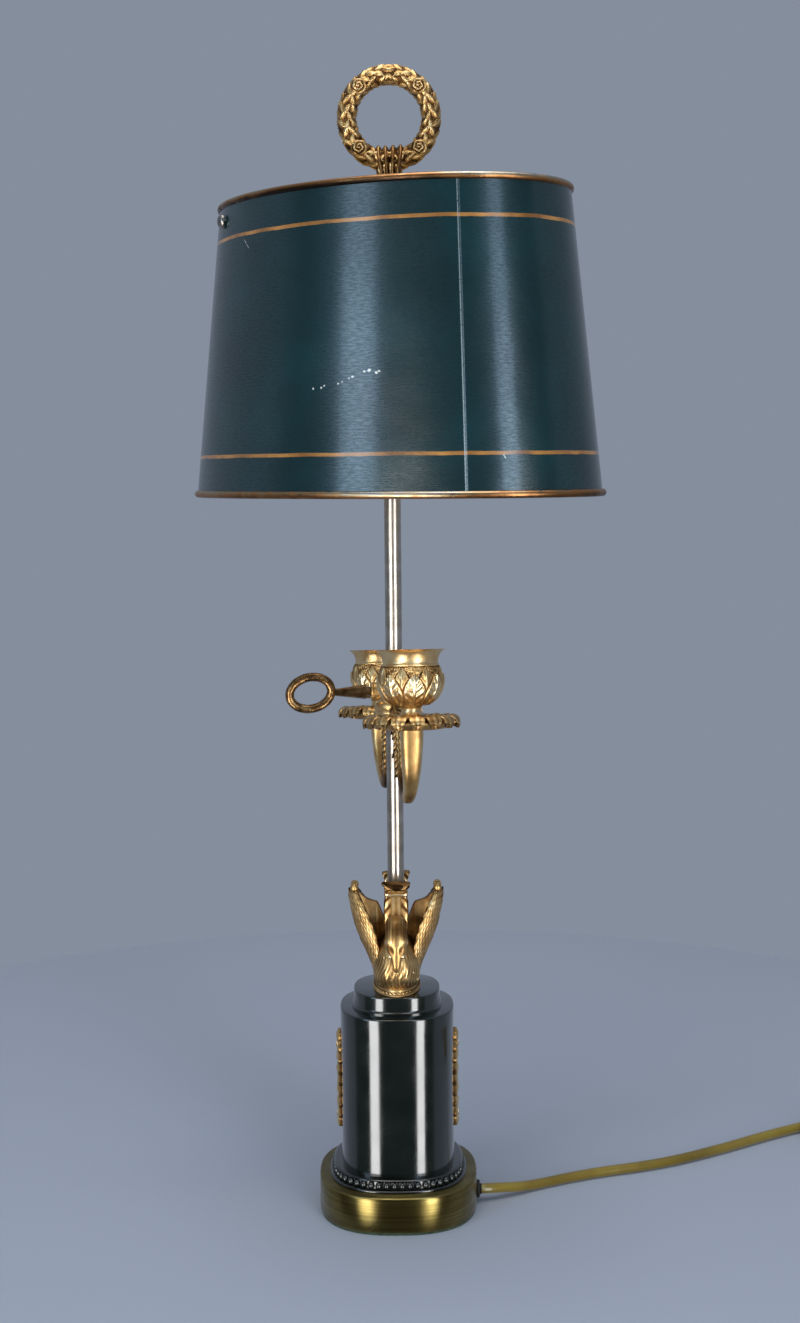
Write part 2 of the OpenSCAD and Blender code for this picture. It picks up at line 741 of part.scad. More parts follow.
module shade_bar() {
    color("#b08a40") difference() {
        rotate([0, 0, bar_turn]) union() {
            translate([-bar_half, -bar_w / 2, bar_z]) cube([2 * bar_half, bar_w, bar_t]);
            for (s = [-1, 1]) translate([s * (bar_half - 1) - 1, -bar_w / 2, bar_z - bar_hook])
                cube([2, bar_w, bar_hook + 1]);
        }
        translate([0, 0, bar_z - 1]) cylinder(r = rod_r + fit, h = bar_t + 2);
        at_screws() translate([0, 0, -12]) cylinder(r = shade_screw_r + 0.2, h = 14);
    }
}

module shade_screws() {
    color("#8e8a84") at_screws() {
        translate([0, 0, -8]) cylinder(r = shade_screw_r, h = 9);
        translate([0, 0, 0.8]) intersection() {
            cylinder(r = 4, h = 4);
            translate([0, 0, -1.6]) sphere(r = 4.3);
        }
    }
}

// ---- Finial ----

module wreath_finial() {
    tube_r = (wreath_d - wreath_hole_d) / 4;
    ring_r = wreath_d / 2 - tube_r;
    foot_z = bar_z + bar_t + gap;
    ring_low = wreath_z - wreath_d / 2;
    color("#c49a45") difference() {
        union() {
            translate([0, 0, wreath_z]) rotate([90, 0, 0]) rotate_extrude() translate([ring_r, 0])
                circle(r = tube_r, $fn = 40);
            for (t = [45:90:315]) translate([ring_r * cos(t), 0, wreath_z + ring_r * sin(t)])
                sphere(r = tube_r + 1, $fn = 32);
            rotate_extrude() polygon([[0, foot_z], [9, foot_z], [9, foot_z + 2], [7, foot_z + 4],
                [6, foot_z + 8], [5.4, foot_z + 14], [6.4, ring_low - 2], [7.4, ring_low + 1],
                [6, ring_low + 4], [0, ring_low + 4]]);
            for (x = [-6, -2, 2, 6]) translate([x, 0, ring_low + 2.5]) sphere(r = 4.2, $fn = 24);
        }
        translate([0, 0, foot_z - 1]) cylinder(r = rod_r + fit, h = rod_top - foot_z + 1.5);
    }
}

// ---- Cord ----

module cord_bushing() {
    x = drum_half;
    color("#1c1a18") translate([x, 0, cord_exit_z]) rotate([0, 90, 0]) difference() {
        union() {
            translate([0, 0, -drum_wall - 2]) cylinder(r = cord_r + 1.5 - loose, h = drum_wall + 4);
            translate([0, 0, 0.3]) cylinder(r = cord_r + 2.4, h = 1.7);
            translate([0, 0, -drum_wall - 2.2]) cylinder(r = cord_r + 2.4, h = 1.6);
        }
        translate([0, 0, -8]) cylinder(r = cord_r + loose, h = 20);
    }
}

module power_cord() {
    color("#a8923e") {
        cord(cord_route, cord_r, 10);
        cord(tail_route, cord_r, 10);
    }
}

module cord_coil() {
    w = coil_w / 2;
    color("#a8923e") translate([coil_at[0], coil_at[1], 0]) rotate_extrude() translate([coil_r, 0])
        polygon([[-w + 3, 0], [w - 3, 0], [w, 3], [w, coil_h - 5], [w - 4, coil_h], [4 - w, coil_h],
            [-w, coil_h - 5], [-w, 3]]);
}

// Flat two-pin plug with round sides: half spacing of its sides, radius, neck and body length
plug_side = 6.5;
plug_r = 6.8;
plug_neck = 10;
plug_len = 26;

module plug_body() {
    color("#a8923e") translate(plug_at) rotate([90, 0, 0]) {
        translate([0, 0, plug_neck]) linear_extrude(plug_len) union() {
            for (s = [-1, 1]) translate([s * plug_side, 0]) circle(r = plug_r);
            translate([-plug_side, -plug_r]) square([2 * plug_side, 2 * plug_r]);
        }
        cylinder(r1 = cord_r + 0.6, r2 = plug_r - 0.4, h = plug_neck + 0.5);
    }
}

module plug_pins() {
    pitch = 18.6;
    pin_len = 19;
    color("#d0ccc0") for (s = [-1, 1])
        translate(plug_at + [s * pitch / 2, -plug_neck - plug_len, 0]) rotate([90, 0, 0])
            cylinder(r = 2, h = pin_len);
}

felt_pad();
base_weight();
base_drum();
gadroon_ring();
column();
column_step();
side_mount_left();
side_mount_right();
side_mount_pins();
stem_washer();
stem_nut();
stem_tube();
inner_lead();
swan_plinth();
swan_front();
swan_back();
arm_sleeve();
arm_casting();
pan_front();
pan_back();
cup_front();
cup_back();
cup_screws();
clamp_key();
cluster();
holder_left();
holder_right();
holder_knob_left();
holder_knob_right();
bulb_caps();
bulb_globes();
shade_rod();
shade_rest_nut();
shade_bar();
shade_shell();
shade_top_rim();
shade_bottom_rim();
shade_screws();
wreath_finial();
cord_bushing();
power_cord();
cord_coil();
plug_body();
plug_pins();
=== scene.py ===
# %% [markdown]
# # A bouillotte lamp around its frame
# The frame holds every piece of the lamp at its real size and place, in metres, with +Z up and the
# lamp's front towards -Y. This lesson gives the pieces their looks: the painted tin shade, the gilt
# castings, the lacquered column and the brass drum. A frame piece is never moved. It gets a finish of
# its own, or a finer mesh of the same size takes its place.

# %% Load the frame
import json
import math

import bmesh
import bpy
import numpy as np
from mathutils import Matrix, Vector


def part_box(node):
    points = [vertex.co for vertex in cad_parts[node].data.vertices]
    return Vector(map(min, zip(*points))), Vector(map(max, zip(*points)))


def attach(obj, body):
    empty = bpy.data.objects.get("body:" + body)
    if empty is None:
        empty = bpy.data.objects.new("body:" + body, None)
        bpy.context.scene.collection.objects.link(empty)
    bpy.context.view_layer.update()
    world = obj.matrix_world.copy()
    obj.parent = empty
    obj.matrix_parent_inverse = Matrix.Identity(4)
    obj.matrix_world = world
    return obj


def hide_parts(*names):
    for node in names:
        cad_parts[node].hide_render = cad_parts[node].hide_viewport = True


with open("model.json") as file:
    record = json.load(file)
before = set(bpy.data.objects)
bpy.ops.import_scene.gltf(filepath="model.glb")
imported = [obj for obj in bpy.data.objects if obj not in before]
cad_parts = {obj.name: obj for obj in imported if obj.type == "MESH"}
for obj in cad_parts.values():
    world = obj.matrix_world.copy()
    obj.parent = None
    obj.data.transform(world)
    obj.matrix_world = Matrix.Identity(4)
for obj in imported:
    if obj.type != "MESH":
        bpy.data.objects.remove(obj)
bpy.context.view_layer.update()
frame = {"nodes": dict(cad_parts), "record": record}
MM = 0.001


def put(name, data):
    """A new object in the scene."""
    made = bpy.data.objects.new(name, data)
    bpy.context.scene.collection.objects.link(made)
    return made


# %% [markdown]
# ## Camera
# A long lens a metre away, a little above the candle arms, looks slightly down and leans by half a
# degree. The lens is worked out from its focal length in pixels, because that is what a fitted view
# gives, and the sensor is measured along the tall side of the picture.

# %% Camera
EYE = Vector((0.0035, -0.965, 0.430))
LOOK_DOWN = math.radians(6.4)
LEAN = math.radians(-0.5)
IMAGE_HEIGHT = 1323
FOCAL_PIXELS = 1700
SENSOR = 36.0

camera_data = bpy.data.cameras.new("camera")
camera_data.sensor_fit = "VERTICAL"
camera_data.sensor_height = SENSOR
camera_data.lens = FOCAL_PIXELS / IMAGE_HEIGHT * SENSOR
camera = put("camera", camera_data)
forward = Vector((0, math.cos(LOOK_DOWN), -math.sin(LOOK_DOWN)))
level = Vector((1, 0, 0))
upright = level.cross(forward)
side = level * math.cos(LEAN) + upright * math.sin(LEAN)
camera.matrix_world = Matrix((side, side.cross(forward), -forward)).transposed().to_4x4()
camera.location = EYE
bpy.context.scene.camera = camera
print("lens", round(camera_data.lens, 2), "mm")

# %% [markdown]
# ## Light
# Tall soft boxes stand left and right of the camera. Their images run down the column, the stem and the
# shade as upright bands of light, which is what makes lacquer and metal read as glossy. They reach below
# the table, because an upright surface seen from above mirrors what is lower than itself. On the left the
# upper boxes stand further out, where the shade's flatter side mirrors them. The upper boxes are bluer, as
# by a window, and a large panel overhead lifts the tops. The world is a studio: a plain grey-blue
# backdrop, and a dimmer room on the camera's side, which gives polished metal its dark parts. The camera
# itself sees the plain backdrop all round.

# %% Light
BACKDROP = (0.235, 0.270, 0.335)
ROOM = (0.055, 0.058, 0.066)
STRIP_DISTANCE = 1.55
DAYLIGHT = (0.54, 0.76, 1.0)
WINDOW_FOOT = 0.5
# Name, turn from the camera in degrees, width, lower and upper edge in metres, and power in watts
STRIPS = (("left_low", -31, 0.5, -1.1, 0.5, 24), ("left_middle", -50, 0.38, 0.5, 0.9, 2.8),
          ("left_top", -50, 0.38, 0.9, 1.7, 2.5), ("right_low", 31, 0.42, -1.1, 0.5, 20),
          ("right_middle", 25, 0.32, 0.5, 0.9, 2.4), ("right_top", 25, 0.32, 0.9, 1.7, 2.1))


def area_light(name, place, target, size, power):
    """A rectangular soft box at place that faces target."""
    data = bpy.data.lights.new(name, "AREA")
    data.shape = "RECTANGLE"
    data.size, data.size_y = size
    data.energy = power
    lamp = put(name, data)
    lamp.location = place
    lamp.rotation_euler = (Vector(target) - Vector(place)).to_track_quat("-Z", "Y").to_euler()
    return lamp


for name, turn, width, low, high, power in STRIPS:
    angle = math.radians(turn)
    spot = (STRIP_DISTANCE * math.sin(angle), -STRIP_DISTANCE * math.cos(angle), (low + high) / 2)
    lamp = area_light("strip_" + name, spot, (0, 0, spot[2]), (width, high - low), power)
    if low >= WINDOW_FOOT:
        lamp.data.color = DAYLIGHT
area_light("overhead", (0.0, -0.25, 1.75), (0, 0, 0.3), (1.1, 1.1), 14)

world = bpy.data.worlds.new("studio")
bpy.context.scene.world = world
world.use_nodes = True
bpy.context.scene.view_settings.view_transform = "Standard"
print(len(STRIPS), "strips, one overhead panel and the world")

# %% [markdown]
# ## A few tools
# `add` puts one node in a tree with its settings and links, and every material and geometry tree in
# this lesson is built with it. `solid` makes a closed mesh through rings of points, which suits turned,
# lofted and cast forms alike. `smooth` runs a curve through a few given rows of numbers, so that an
# outline needs only the points that its shape needs.

# %% Colour and node tools
FINISH = {}


def linear(code):
    """An sRGB hex colour as linear RGBA, without transparency."""
    values = [int(code[i:i + 2], 16) / 255 for i in (1, 3, 5)]
    return (*[v / 12.92 if v <= 0.04045 else ((v + 0.055) / 1.055) ** 2.4 for v in values], 1.0)


def output(source):
    """The first output that a node has switched on. Anything but a node comes back as it is."""
    if isinstance(source, bpy.types.Node):
        return next(socket for socket in source.outputs if socket.enabled)
    return source


def add(tree, kind, *sources, named=None, stops=(), **settings):
    """Adds a node. Sources fill its inputs in order, named fills them by name, and settings are its own.

    Only the sockets that the node's settings leave switched on are counted. Stops are a colour ramp's
    pairs of position and hex colour.
    """
    made = tree.nodes.new(kind)
    for key, value in settings.items():
        setattr(made, key, value)
    for i, (place, code) in enumerate(stops):
        points = made.color_ramp.elements
        point = points[i] if i < len(points) else points.new(place)
        point.position = place
        point.color = linear(code)
    free = [socket for socket in made.inputs if socket.enabled]
    by_name = {socket.name: socket for socket in reversed(free)}
    pairs = list(zip(free, sources)) + [(by_name[key], value) for key, value in (named or {}).items()]
    for socket, source in pairs:
        source = output(source)
        if isinstance(source, bpy.types.NodeSocket):
            tree.links.new(source, socket)
        elif source is not None:
            socket.default_value = source
    return made


def feed(tree, shader, **links):
    """Links nodes or their outputs to the shader's sockets."""
    for key, source in links.items():
        tree.links.new(output(source), shader.inputs[key.replace("_", " ")])


def finish(name, colour, **sockets):
    """A new material in FINISH, with the given sockets set on its shader. Returns its tree and shader."""
    made = bpy.data.materials.new(name)
    made.use_nodes = True
    FINISH[name] = made
    tree = made.node_tree
    shader = tree.nodes["Principled BSDF"]
    shader.inputs["Base Color"].default_value = linear(colour)
    for key, value in sockets.items():
        shader.inputs[key.replace("_", " ")].default_value = value
    return tree, shader


print("node tools ready")

# %% Studio world
BACKDROP_SIDE = (0.164, 1.0, 0.0)
ROOM_EDGE = (-0.34, -0.20)

tree = world.node_tree
direction = add(tree, "ShaderNodeTexCoord").outputs["Generated"]
away = add(tree, "ShaderNodeVectorMath", direction, BACKDROP_SIDE, operation="DOT_PRODUCT")
behind = add(tree, "ShaderNodeMapRange", away, *ROOM_EDGE, 0.0, 1.0)
around = add(tree, "ShaderNodeMix", behind, (*ROOM, 1.0), (*BACKDROP, 1.0), data_type="RGBA")
seen = add(tree, "ShaderNodeLightPath").outputs["Is Camera Ray"]
shown = add(tree, "ShaderNodeMix", seen, around, (*BACKDROP, 1.0), data_type="RGBA")
feed(tree, tree.nodes["Background"], Color=shown)
print("backdrop behind, dimmer room in front")

# %% Mesh tools
def unit(vectors):
    """The vectors at a length of 1."""
    return vectors / np.linalg.norm(vectors, axis=-1, keepdims=True)


def crest(value, middle, spread):
    """A smooth crest: 1 where the value is at the middle, and nearly 0 two spreads away."""
    return np.exp(-(((value - middle) / spread) ** 2))


def smooth(rows, count):
    """A smooth run of count rows through the given rows."""
    rows = np.array(rows, float)
    t = np.linspace(0, len(rows) - 1, count)
    i = np.clip(t.astype(int), 0, len(rows) - 2)
    f = (t - i)[:, None]
    ends = np.vstack([2 * rows[0] - rows[1], rows, 2 * rows[-1] - rows[-2]])
    a, b, c, d = ends[i], ends[i + 1], ends[i + 2], ends[i + 3]
    return 0.5 * (2 * b + (c - a) * f + (2 * a - 5 * b + 4 * c - d) * f**2 + (3 * b - 3 * c + d - a) * f**3)


def solid(name, rings, finish_name, loop=False, depth=None, uv=None, crease=40):
    """A closed mesh through rings of points, in millimetres: an array of rings by points by 3.

    With loop the last ring joins the first, and without it both ends are capped. Depth is a value for
    each point, and uv gives a corner's place on the map from its ring and its point.
    """
    rings = np.asarray(rings, float)
    m, n = rings.shape[:2]
    rows = m if loop else m - 1
    corner = [(i, k, i + 1, k + 1) for i in range(rows) for k in range(n)]
    faces = [(i * n + k, j % m * n + k, j % m * n + l % n, i * n + l % n) for i, k, j, l in corner]
    if not loop:
        faces += [tuple(range(n)), tuple(range(m * n - 1, (m - 1) * n - 1, -1))]
    mesh = bpy.data.meshes.new(name)
    mesh.from_pydata([tuple(p) for p in rings.reshape(-1, 3) * MM], [], faces)
    if depth is not None:
        layer = mesh.attributes.new("depth", "FLOAT", "POINT")
        layer.data.foreach_set("value", np.broadcast_to(np.float32(depth), (m, n)).reshape(-1))
    if uv is not None:
        layer = mesh.uv_layers.new(name="UVMap")
        spots = [uv(*pair) for i, k, j, l in corner for pair in ((i, k), (j, k), (j, l), (i, l))]
        spots += [(0, 0)] * (len(mesh.loops) - len(spots))
        layer.data.foreach_set("uv", np.array(spots, np.float32).reshape(-1))
    tidy(mesh, crease)
    mesh.materials.append(FINISH[finish_name])
    return put(name, mesh)


def tidy(mesh, crease):
    """Merges doubles, turns faces outwards and shades smooth except at creases."""
    work = bmesh.new()
    work.from_mesh(mesh)
    bmesh.ops.remove_doubles(work, verts=work.verts, dist=2e-6)
    bmesh.ops.dissolve_degenerate(work, edges=work.edges, dist=1e-7)
    bmesh.ops.recalc_face_normals(work, faces=work.faces)
    work.to_mesh(mesh)
    work.free()
    mesh.shade_smooth()
    mesh.set_sharp_from_angle(angle=math.radians(crease))


def place(piece, body, slot, *nodes):
    """The piece rides on a body and stands for the given frame nodes, which are hidden. The slot is not used.
    """
    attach(piece, body)
    if nodes:
        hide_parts(*nodes)
    return piece


def join(name, parts):
    """Several meshes as one piece."""
    with bpy.context.temp_override(active_object=parts[0], selected_editable_objects=parts):
        bpy.ops.object.join()
    parts[0].name = name
    parts[0].data.name = name
    return parts[0]


print("mesh tools ready")

# %% Circles, moves and outlines
def circle(count):
    """Angles of count even steps round a circle, in radians."""
    return np.linspace(0, 2 * np.pi, count, endpoint=False)


def shift(x, y, z):
    """The matrix of a move in millimetres."""
    return Matrix.Translation(Vector((x, y, z)) * MM)


def about(axis, degrees):
    """The matrix of a turn about an axis."""
    return Matrix.Rotation(math.radians(degrees), 4, axis)


def turned(profile, sides):
    """Rings of a turned form from its profile: rows of radius and height."""
    t = circle(sides)
    return [[(r * c, r * s, z) for c, s in zip(np.cos(t), np.sin(t))] for r, z in profile]


def outline(half_x, half_y, z, squareness, sides):
    """A round-cornered ring: squareness 2 is an ellipse, and more is squarer."""
    t = circle(sides)
    x, y = [np.sign(v) * np.abs(v) ** (2 / squareness) for v in (np.cos(t), np.sin(t))]
    return np.stack([half_x * x, half_y * y, np.full(sides, z)], 1)


def sweep(path, half_w, half_h, up, sides, squareness=2.0):
    """Rings along a path, half_w wide across it and half_h high along up."""
    path = np.asarray(path, float)
    along = unit(np.gradient(path, axis=0))
    across = unit(np.cross(np.broadcast_to(np.asarray(up, float), along.shape), along))
    rise = np.cross(along, across)
    ring = outline(1, 1, 0, squareness, sides)
    return (path[:, None] + across[:, None] * ring[:, 0, None] * np.reshape(half_w, (-1, 1, 1))
            + rise[:, None] * ring[:, 1, None] * np.reshape(half_h, (-1, 1, 1)))


print("outline tools ready")

# %% [markdown]
# ## Floor
# The floor is a plain pale disc. It ends a little behind the lamp, so the plain world shows above it,
# and it is wide enough to hold the cord's coil. Glossy rays pass it by, because the soft boxes' lower
# parts must show in the column.

# %% Floor
FLOOR_RADIUS = 600
FLOOR_THICK = 2

tree, shader = finish("pale_floor", "#a9b0bd", Roughness=0.85)
spot = add(tree, "ShaderNodeTexCoord").outputs["Object"]
weave = add(tree, "ShaderNodeTexNoise", named={"Vector": spot, "Scale": 900.0, "Detail": 4.0})
bump = add(tree, "ShaderNodeBump", named={"Strength": 0.1, "Distance": 0.0003, "Height": weave})
feed(tree, shader, Normal=bump)
edge = [outline(FLOOR_RADIUS, FLOOR_RADIUS, z, 2, 128) for z in (0, -FLOOR_THICK)]
floor = solid("floor", edge, "pale_floor")
floor.visible_glossy = False
print("floor", 2 * FLOOR_RADIUS, "mm across")

# %% [markdown]
# ## Gilt castings
# The wreath, the candle arms, the swans and the side mounts are cast brass, chased by hand and gilt. A
# dark lacquer is rubbed into them and wiped off the high places. So the finish takes a depth from each
# mesh, 0 on a high place and 1 in a hollow, and runs from bright gold to brown along it. That brown is
# partly the rubbed-in lacquer and partly painted shade, in the hollows and on faces turned from the light,
# which is what makes the relief read. Soft noise moves the border, because a rag never wipes evenly.

# %% Gilt brass
def gilt(name, *colours, polish=0.32, dull=0.52, grain=0.12):
    """Cast brass whose colours run from the high places to the hollows."""
    tree, shader = finish(name, colours[0], Metallic=1.0)
    spot = add(tree, "ShaderNodeTexCoord").outputs["Object"]
    depth = add(tree, "ShaderNodeAttribute", attribute_name="depth").outputs["Fac"]
    rag = add(tree, "ShaderNodeTexNoise", named={"Vector": spot, "Scale": 1000 / 8, "Detail": 4.0})
    wiped = add(tree, "ShaderNodeMath", rag, 0.7, -0.33, operation="MULTIPLY_ADD")
    # the brown in the hollows is partly rubbed-in lacquer and partly painted shade
    grime_and_shade = add(tree, "ShaderNodeMath", depth, 0.95, wiped, operation="MULTIPLY_ADD", use_clamp=True)
    tone = add(tree, "ShaderNodeValToRGB", grime_and_shade, stops=zip((0.0, 0.35, 0.7, 1.0), colours))
    rough = add(tree, "ShaderNodeMapRange", grime_and_shade, 0.0, 1.0, polish, dull)
    sand = add(tree, "ShaderNodeTexNoise", named={"Vector": spot, "Scale": 1000 / 0.5, "Detail": 3.0})
    soft = add(tree, "ShaderNodeTexNoise", named={"Vector": spot, "Scale": 1000 / 2.5, "Detail": 2.0})
    height = add(tree, "ShaderNodeMath", soft, 2.0, sand, operation="MULTIPLY_ADD")
    bump = add(tree, "ShaderNodeBump", named={"Strength": grain, "Distance": 0.0003, "Height": height})
    feed(tree, shader, Base_Color=tone, Roughness=rough, Normal=bump)


gilt("gilt_brass", "#f7dfb0", "#d0a86c", "#7f5a34", "#2e1e0f")
gilt("turned_brass", "#e6cf92", "#c4a462", "#866a36", "#43320f", polish=0.2, dull=0.4, grain=0.05)
print("gilt and turned brass")

# %% [markdown]
# ## Antique brass
# The drum is spun brass, brushed round its axis and browned. Brushing spreads a light across the lines,
# so a soft box shows as an upright streak. The shader's anisotropy does that, with a tangent that runs
# round the axis. Lines too fine to see stay with it, and only the coarse ones are drawn in the bump.

# %% Antique brass
def brushed(name, light, middle, dark, polish, spread, lines, line_mm, amount):
    """Metal or lacquer worked round the upright axis."""
    tree, shader = finish(name, middle, Metallic=1.0, Anisotropic=spread, Anisotropic_Rotation=0.25)
    round_axis = add(tree, "ShaderNodeTangent", direction_type="RADIAL", axis="Z")
    spot = add(tree, "ShaderNodeTexCoord").outputs["Object"]
    squeeze = add(tree, "ShaderNodeMapping", spot, named={"Scale": (lines, lines, 1000 / line_mm)})
    fine = add(tree, "ShaderNodeTexNoise", named={"Vector": squeeze, "Scale": 1.0, "Detail": 3.0})
    cloud = add(tree, "ShaderNodeTexNoise", named={"Vector": spot, "Scale": 1000 / 18, "Detail": 4.0})
    blend = add(tree, "ShaderNodeMath", cloud, 0.7, fine, operation="MULTIPLY_ADD")
    shifted = add(tree, "ShaderNodeMath", blend, 0.85, -0.25, operation="MULTIPLY_ADD")
    tone = add(tree, "ShaderNodeValToRGB", shifted, stops=((0.0, light), (0.5, middle), (1.0, dark)))
    rough = add(tree, "ShaderNodeMapRange", cloud, 0.3, 0.7, polish, polish + 0.12)
    bump = add(tree, "ShaderNodeBump", named={"Strength": amount, "Distance": 0.0002, "Height": fine})
    feed(tree, shader, Base_Color=tone, Roughness=rough, Normal=bump, Tangent=round_axis)


brushed("antique_brass", "#b3a468", "#77683a", "#3c3219", 0.26, 0.75, 12.0, 0.7, 0.2)
brushed("nickel_tube", "#ded9d0", "#b3a99c", "#857466", 0.27, 0.2, 6.0, 9.0, 0.002)
brushed("zinc_steel", "#b8b2a8", "#8e8a84", "#5f5a54", 0.3, 0.3, 60.0, 3.0, 0.1)
brushed("cap_metal", "#d8d4c8", "#bcb6aa", "#8a847a", 0.2, 0.2, 60.0, 3.0, 0.05)
print(sorted(FINISH))

# %% [markdown]
# ## Lacquer and painted tin
# The column is turned wood or metal under a thick black lacquer with a green cast, rubbed round its axis
# and pitted by dust. The shade is tin with a dark blue-green enamel, two gilt lines, a soldered seam and
# a few chips. Its pattern reads the shell's own map: the first coordinate runs round the oval and the
# second from the bottom rim to the top one, and both are turned to millimetres before anything is drawn.

# %% Lacquer
def lacquer(name, colour, light, polish, spread):
    """Thick gloss lacquer with dust pits."""
    tree, shader = finish(name, colour, Anisotropic=spread, Anisotropic_Rotation=0.25, Coat_Weight=1.0,
                          Coat_Roughness=0.1)
    round_axis = add(tree, "ShaderNodeTangent", direction_type="RADIAL", axis="Z")
    spot = add(tree, "ShaderNodeTexCoord").outputs["Object"]
    cloud = add(tree, "ShaderNodeTexNoise", named={"Vector": spot, "Scale": 1000 / 14, "Detail": 5.0})
    tone = add(tree, "ShaderNodeValToRGB", cloud, stops=((0.3, colour), (0.75, light)))
    rough = add(tree, "ShaderNodeMapRange", cloud, 0.35, 0.7, polish, polish + 0.1)
    dust = add(tree, "ShaderNodeTexVoronoi", named={"Vector": spot, "Scale": 1000 / 3.2})
    pit = add(tree, "ShaderNodeMapRange", dust.outputs["Distance"], 0.0, 0.12, 0.0, 1.0)
    wave = add(tree, "ShaderNodeTexNoise", named={"Vector": spot, "Scale": 1000 / 5.0, "Detail": 1.0})
    height = add(tree, "ShaderNodeMath", wave, 1.5, pit, operation="MULTIPLY_ADD")
    bump = add(tree, "ShaderNodeBump", named={"Strength": 0.12, "Distance": 0.0001, "Height": height})
    feed(tree, shader, Base_Color=tone, Roughness=rough, Normal=bump, Tangent=round_axis)


lacquer("green_lacquer", "#0a110e", "#121b16", 0.18, 0.5)
lacquer("black_lacquer", "#070a08", "#101410", 0.2, 0.3)
print("lacquers ready")

# %% Marks on the tin
OVAL_GIRTH = 620.0
SHADE_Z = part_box("shade_bottom_rim")[0].z / MM
SHADE_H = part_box("shade_top_rim")[1].z / MM - SHADE_Z
LINES_AT = (0.14, 0.868)
LINE_WIDTH = 1.9
LINE_WANDER = 1.2
SEAM_FOOT = -46.3
SEAM_HEAD = -45.0
SEAM_HALF = 0.2
SEAM_GAPS = 0.36
SEAM_SHARE = 0.5
# A chip has its degrees round the oval, height and radius, and a scratch two ends of degrees and height
CHIPS = ((-87.6, 57.4, 0.434), (-85.2, 57.7, 0.558), (-84.3, 58.7, 0.372), (-80.2, 59.4, 0.434),
         (-79.1, 60.3, 0.372), (-77.1, 62.2, 0.372), (-76.1, 62.8, 0.496), (-72.9, 65.3, 0.558),
         (-71.5, 65.8, 0.744), (-69.5, 64.4, 0.682), (-68.8, 65.2, 0.496))
SCRATCHES = (((-118.2, 139.8), (-115.6, 135.1)), ((-34.8, 21.7), (-34.4, 20.3)))
SCRATCH_HALF = 0.2
SCRATCH_STEPS = 11


def patch(tree, place, spots):
    """A mask that is 1 inside any spot: rows of degrees round the oval, height and radius."""
    total = None
    for turn, height, radius in spots:
        at = (turn / 360 * OVAL_GIRTH, height, 0.0)
        away = add(tree, "ShaderNodeVectorMath", place, at, operation="DISTANCE")
        inside = add(tree, "ShaderNodeMath", away, radius, operation="LESS_THAN")
        total = inside if total is None else add(tree, "ShaderNodeMath", total, inside, operation="MAXIMUM")
    return total


tree, shader = finish("painted_tin", "#0a2427", Anisotropic=0.2, Anisotropic_Rotation=0.25, Coat_Weight=0.45,
                      Coat_Roughness=0.14)
flat = add(tree, "ShaderNodeUVMap", uv_map="UVMap")
place_mm = add(tree, "ShaderNodeVectorMath", flat, (OVAL_GIRTH, SHADE_H, 0.0), operation="MULTIPLY")
shiver = add(tree, "ShaderNodeTexNoise", named={"Vector": place_mm, "Scale": 0.9, "Detail": 3.0})
centred = add(tree, "ShaderNodeVectorMath", shiver.outputs["Color"], (-0.5, -0.5, -0.5), operation="ADD")
ragged = add(tree, "ShaderNodeVectorMath", centred, (1.5, 1.1, 0.0), place_mm, operation="MULTIPLY_ADD")
thin = [(*np.add(start, np.subtract(end, start) * share), SCRATCH_HALF) for start, end in SCRATCHES
        for share in np.linspace(0, 1, SCRATCH_STEPS)]
chipped = patch(tree, ragged, CHIPS)
scratched = patch(tree, ragged, thin)
marks = add(tree, "ShaderNodeMath", chipped, scratched, operation="MAXIMUM")
print(len(CHIPS), "chips and", len(SCRATCHES), "scratches")

# %% Seam and gilt lines
parts = add(tree, "ShaderNodeSeparateXYZ", place_mm)
along, up = parts.outputs["X"], parts.outputs["Y"]
slope = (SEAM_HEAD - SEAM_FOOT) / SHADE_H
seam_turn = add(tree, "ShaderNodeMath", up, slope, SEAM_FOOT, operation="MULTIPLY_ADD")
seam_at = add(tree, "ShaderNodeMath", seam_turn, OVAL_GIRTH / 360, operation="MULTIPLY")
off_seam = add(tree, "ShaderNodeMath", along, seam_at, operation="SUBTRACT")
near_seam = add(tree, "ShaderNodeMath", off_seam, 0.0, SEAM_HALF, operation="COMPARE")
wear = add(tree, "ShaderNodeTexNoise", named={"Vector": place_mm, "Scale": 0.35, "Detail": 4.0})
seam_worn = add(tree, "ShaderNodeMath", wear, SEAM_GAPS, operation="GREATER_THAN")
seam_mask = add(tree, "ShaderNodeMath", near_seam, seam_worn, operation="MULTIPLY")
seam_share = add(tree, "ShaderNodeMath", seam_mask, SEAM_SHARE, operation="MULTIPLY")
line_noise = add(tree, "ShaderNodeTexNoise", named={"Vector": place_mm, "Scale": 0.05, "Detail": 2.0})
wavering = add(tree, "ShaderNodeMath", line_noise, LINE_WANDER, up, operation="MULTIPLY_ADD")
lines = []
for share in LINES_AT:
    middle = share * SHADE_H + LINE_WANDER / 2
    lines.append(add(tree, "ShaderNodeMath", wavering, middle, LINE_WIDTH / 2, operation="COMPARE"))
gilt_line = add(tree, "ShaderNodeMath", *lines, operation="MAXIMUM")
line_tone = add(tree, "ShaderNodeValToRGB", line_noise, stops=((0.35, "#6f4a26"), (0.65, "#a8773e")))
cloud = add(tree, "ShaderNodeTexNoise", named={"Vector": place_mm, "Scale": 0.02, "Detail": 6.0})
colour = add(tree, "ShaderNodeValToRGB", cloud,
             stops=((0.3, "#061d21"), (0.55, "#08262b"), (0.75, "#0b2f34")))
for mask, over in ((gilt_line, line_tone), (seam_share, linear("#98a29c")), (marks, linear("#c9cdca"))):
    colour = add(tree, "ShaderNodeMix", mask, colour, over, data_type="RGBA")
print(len(lines), "gilt lines")

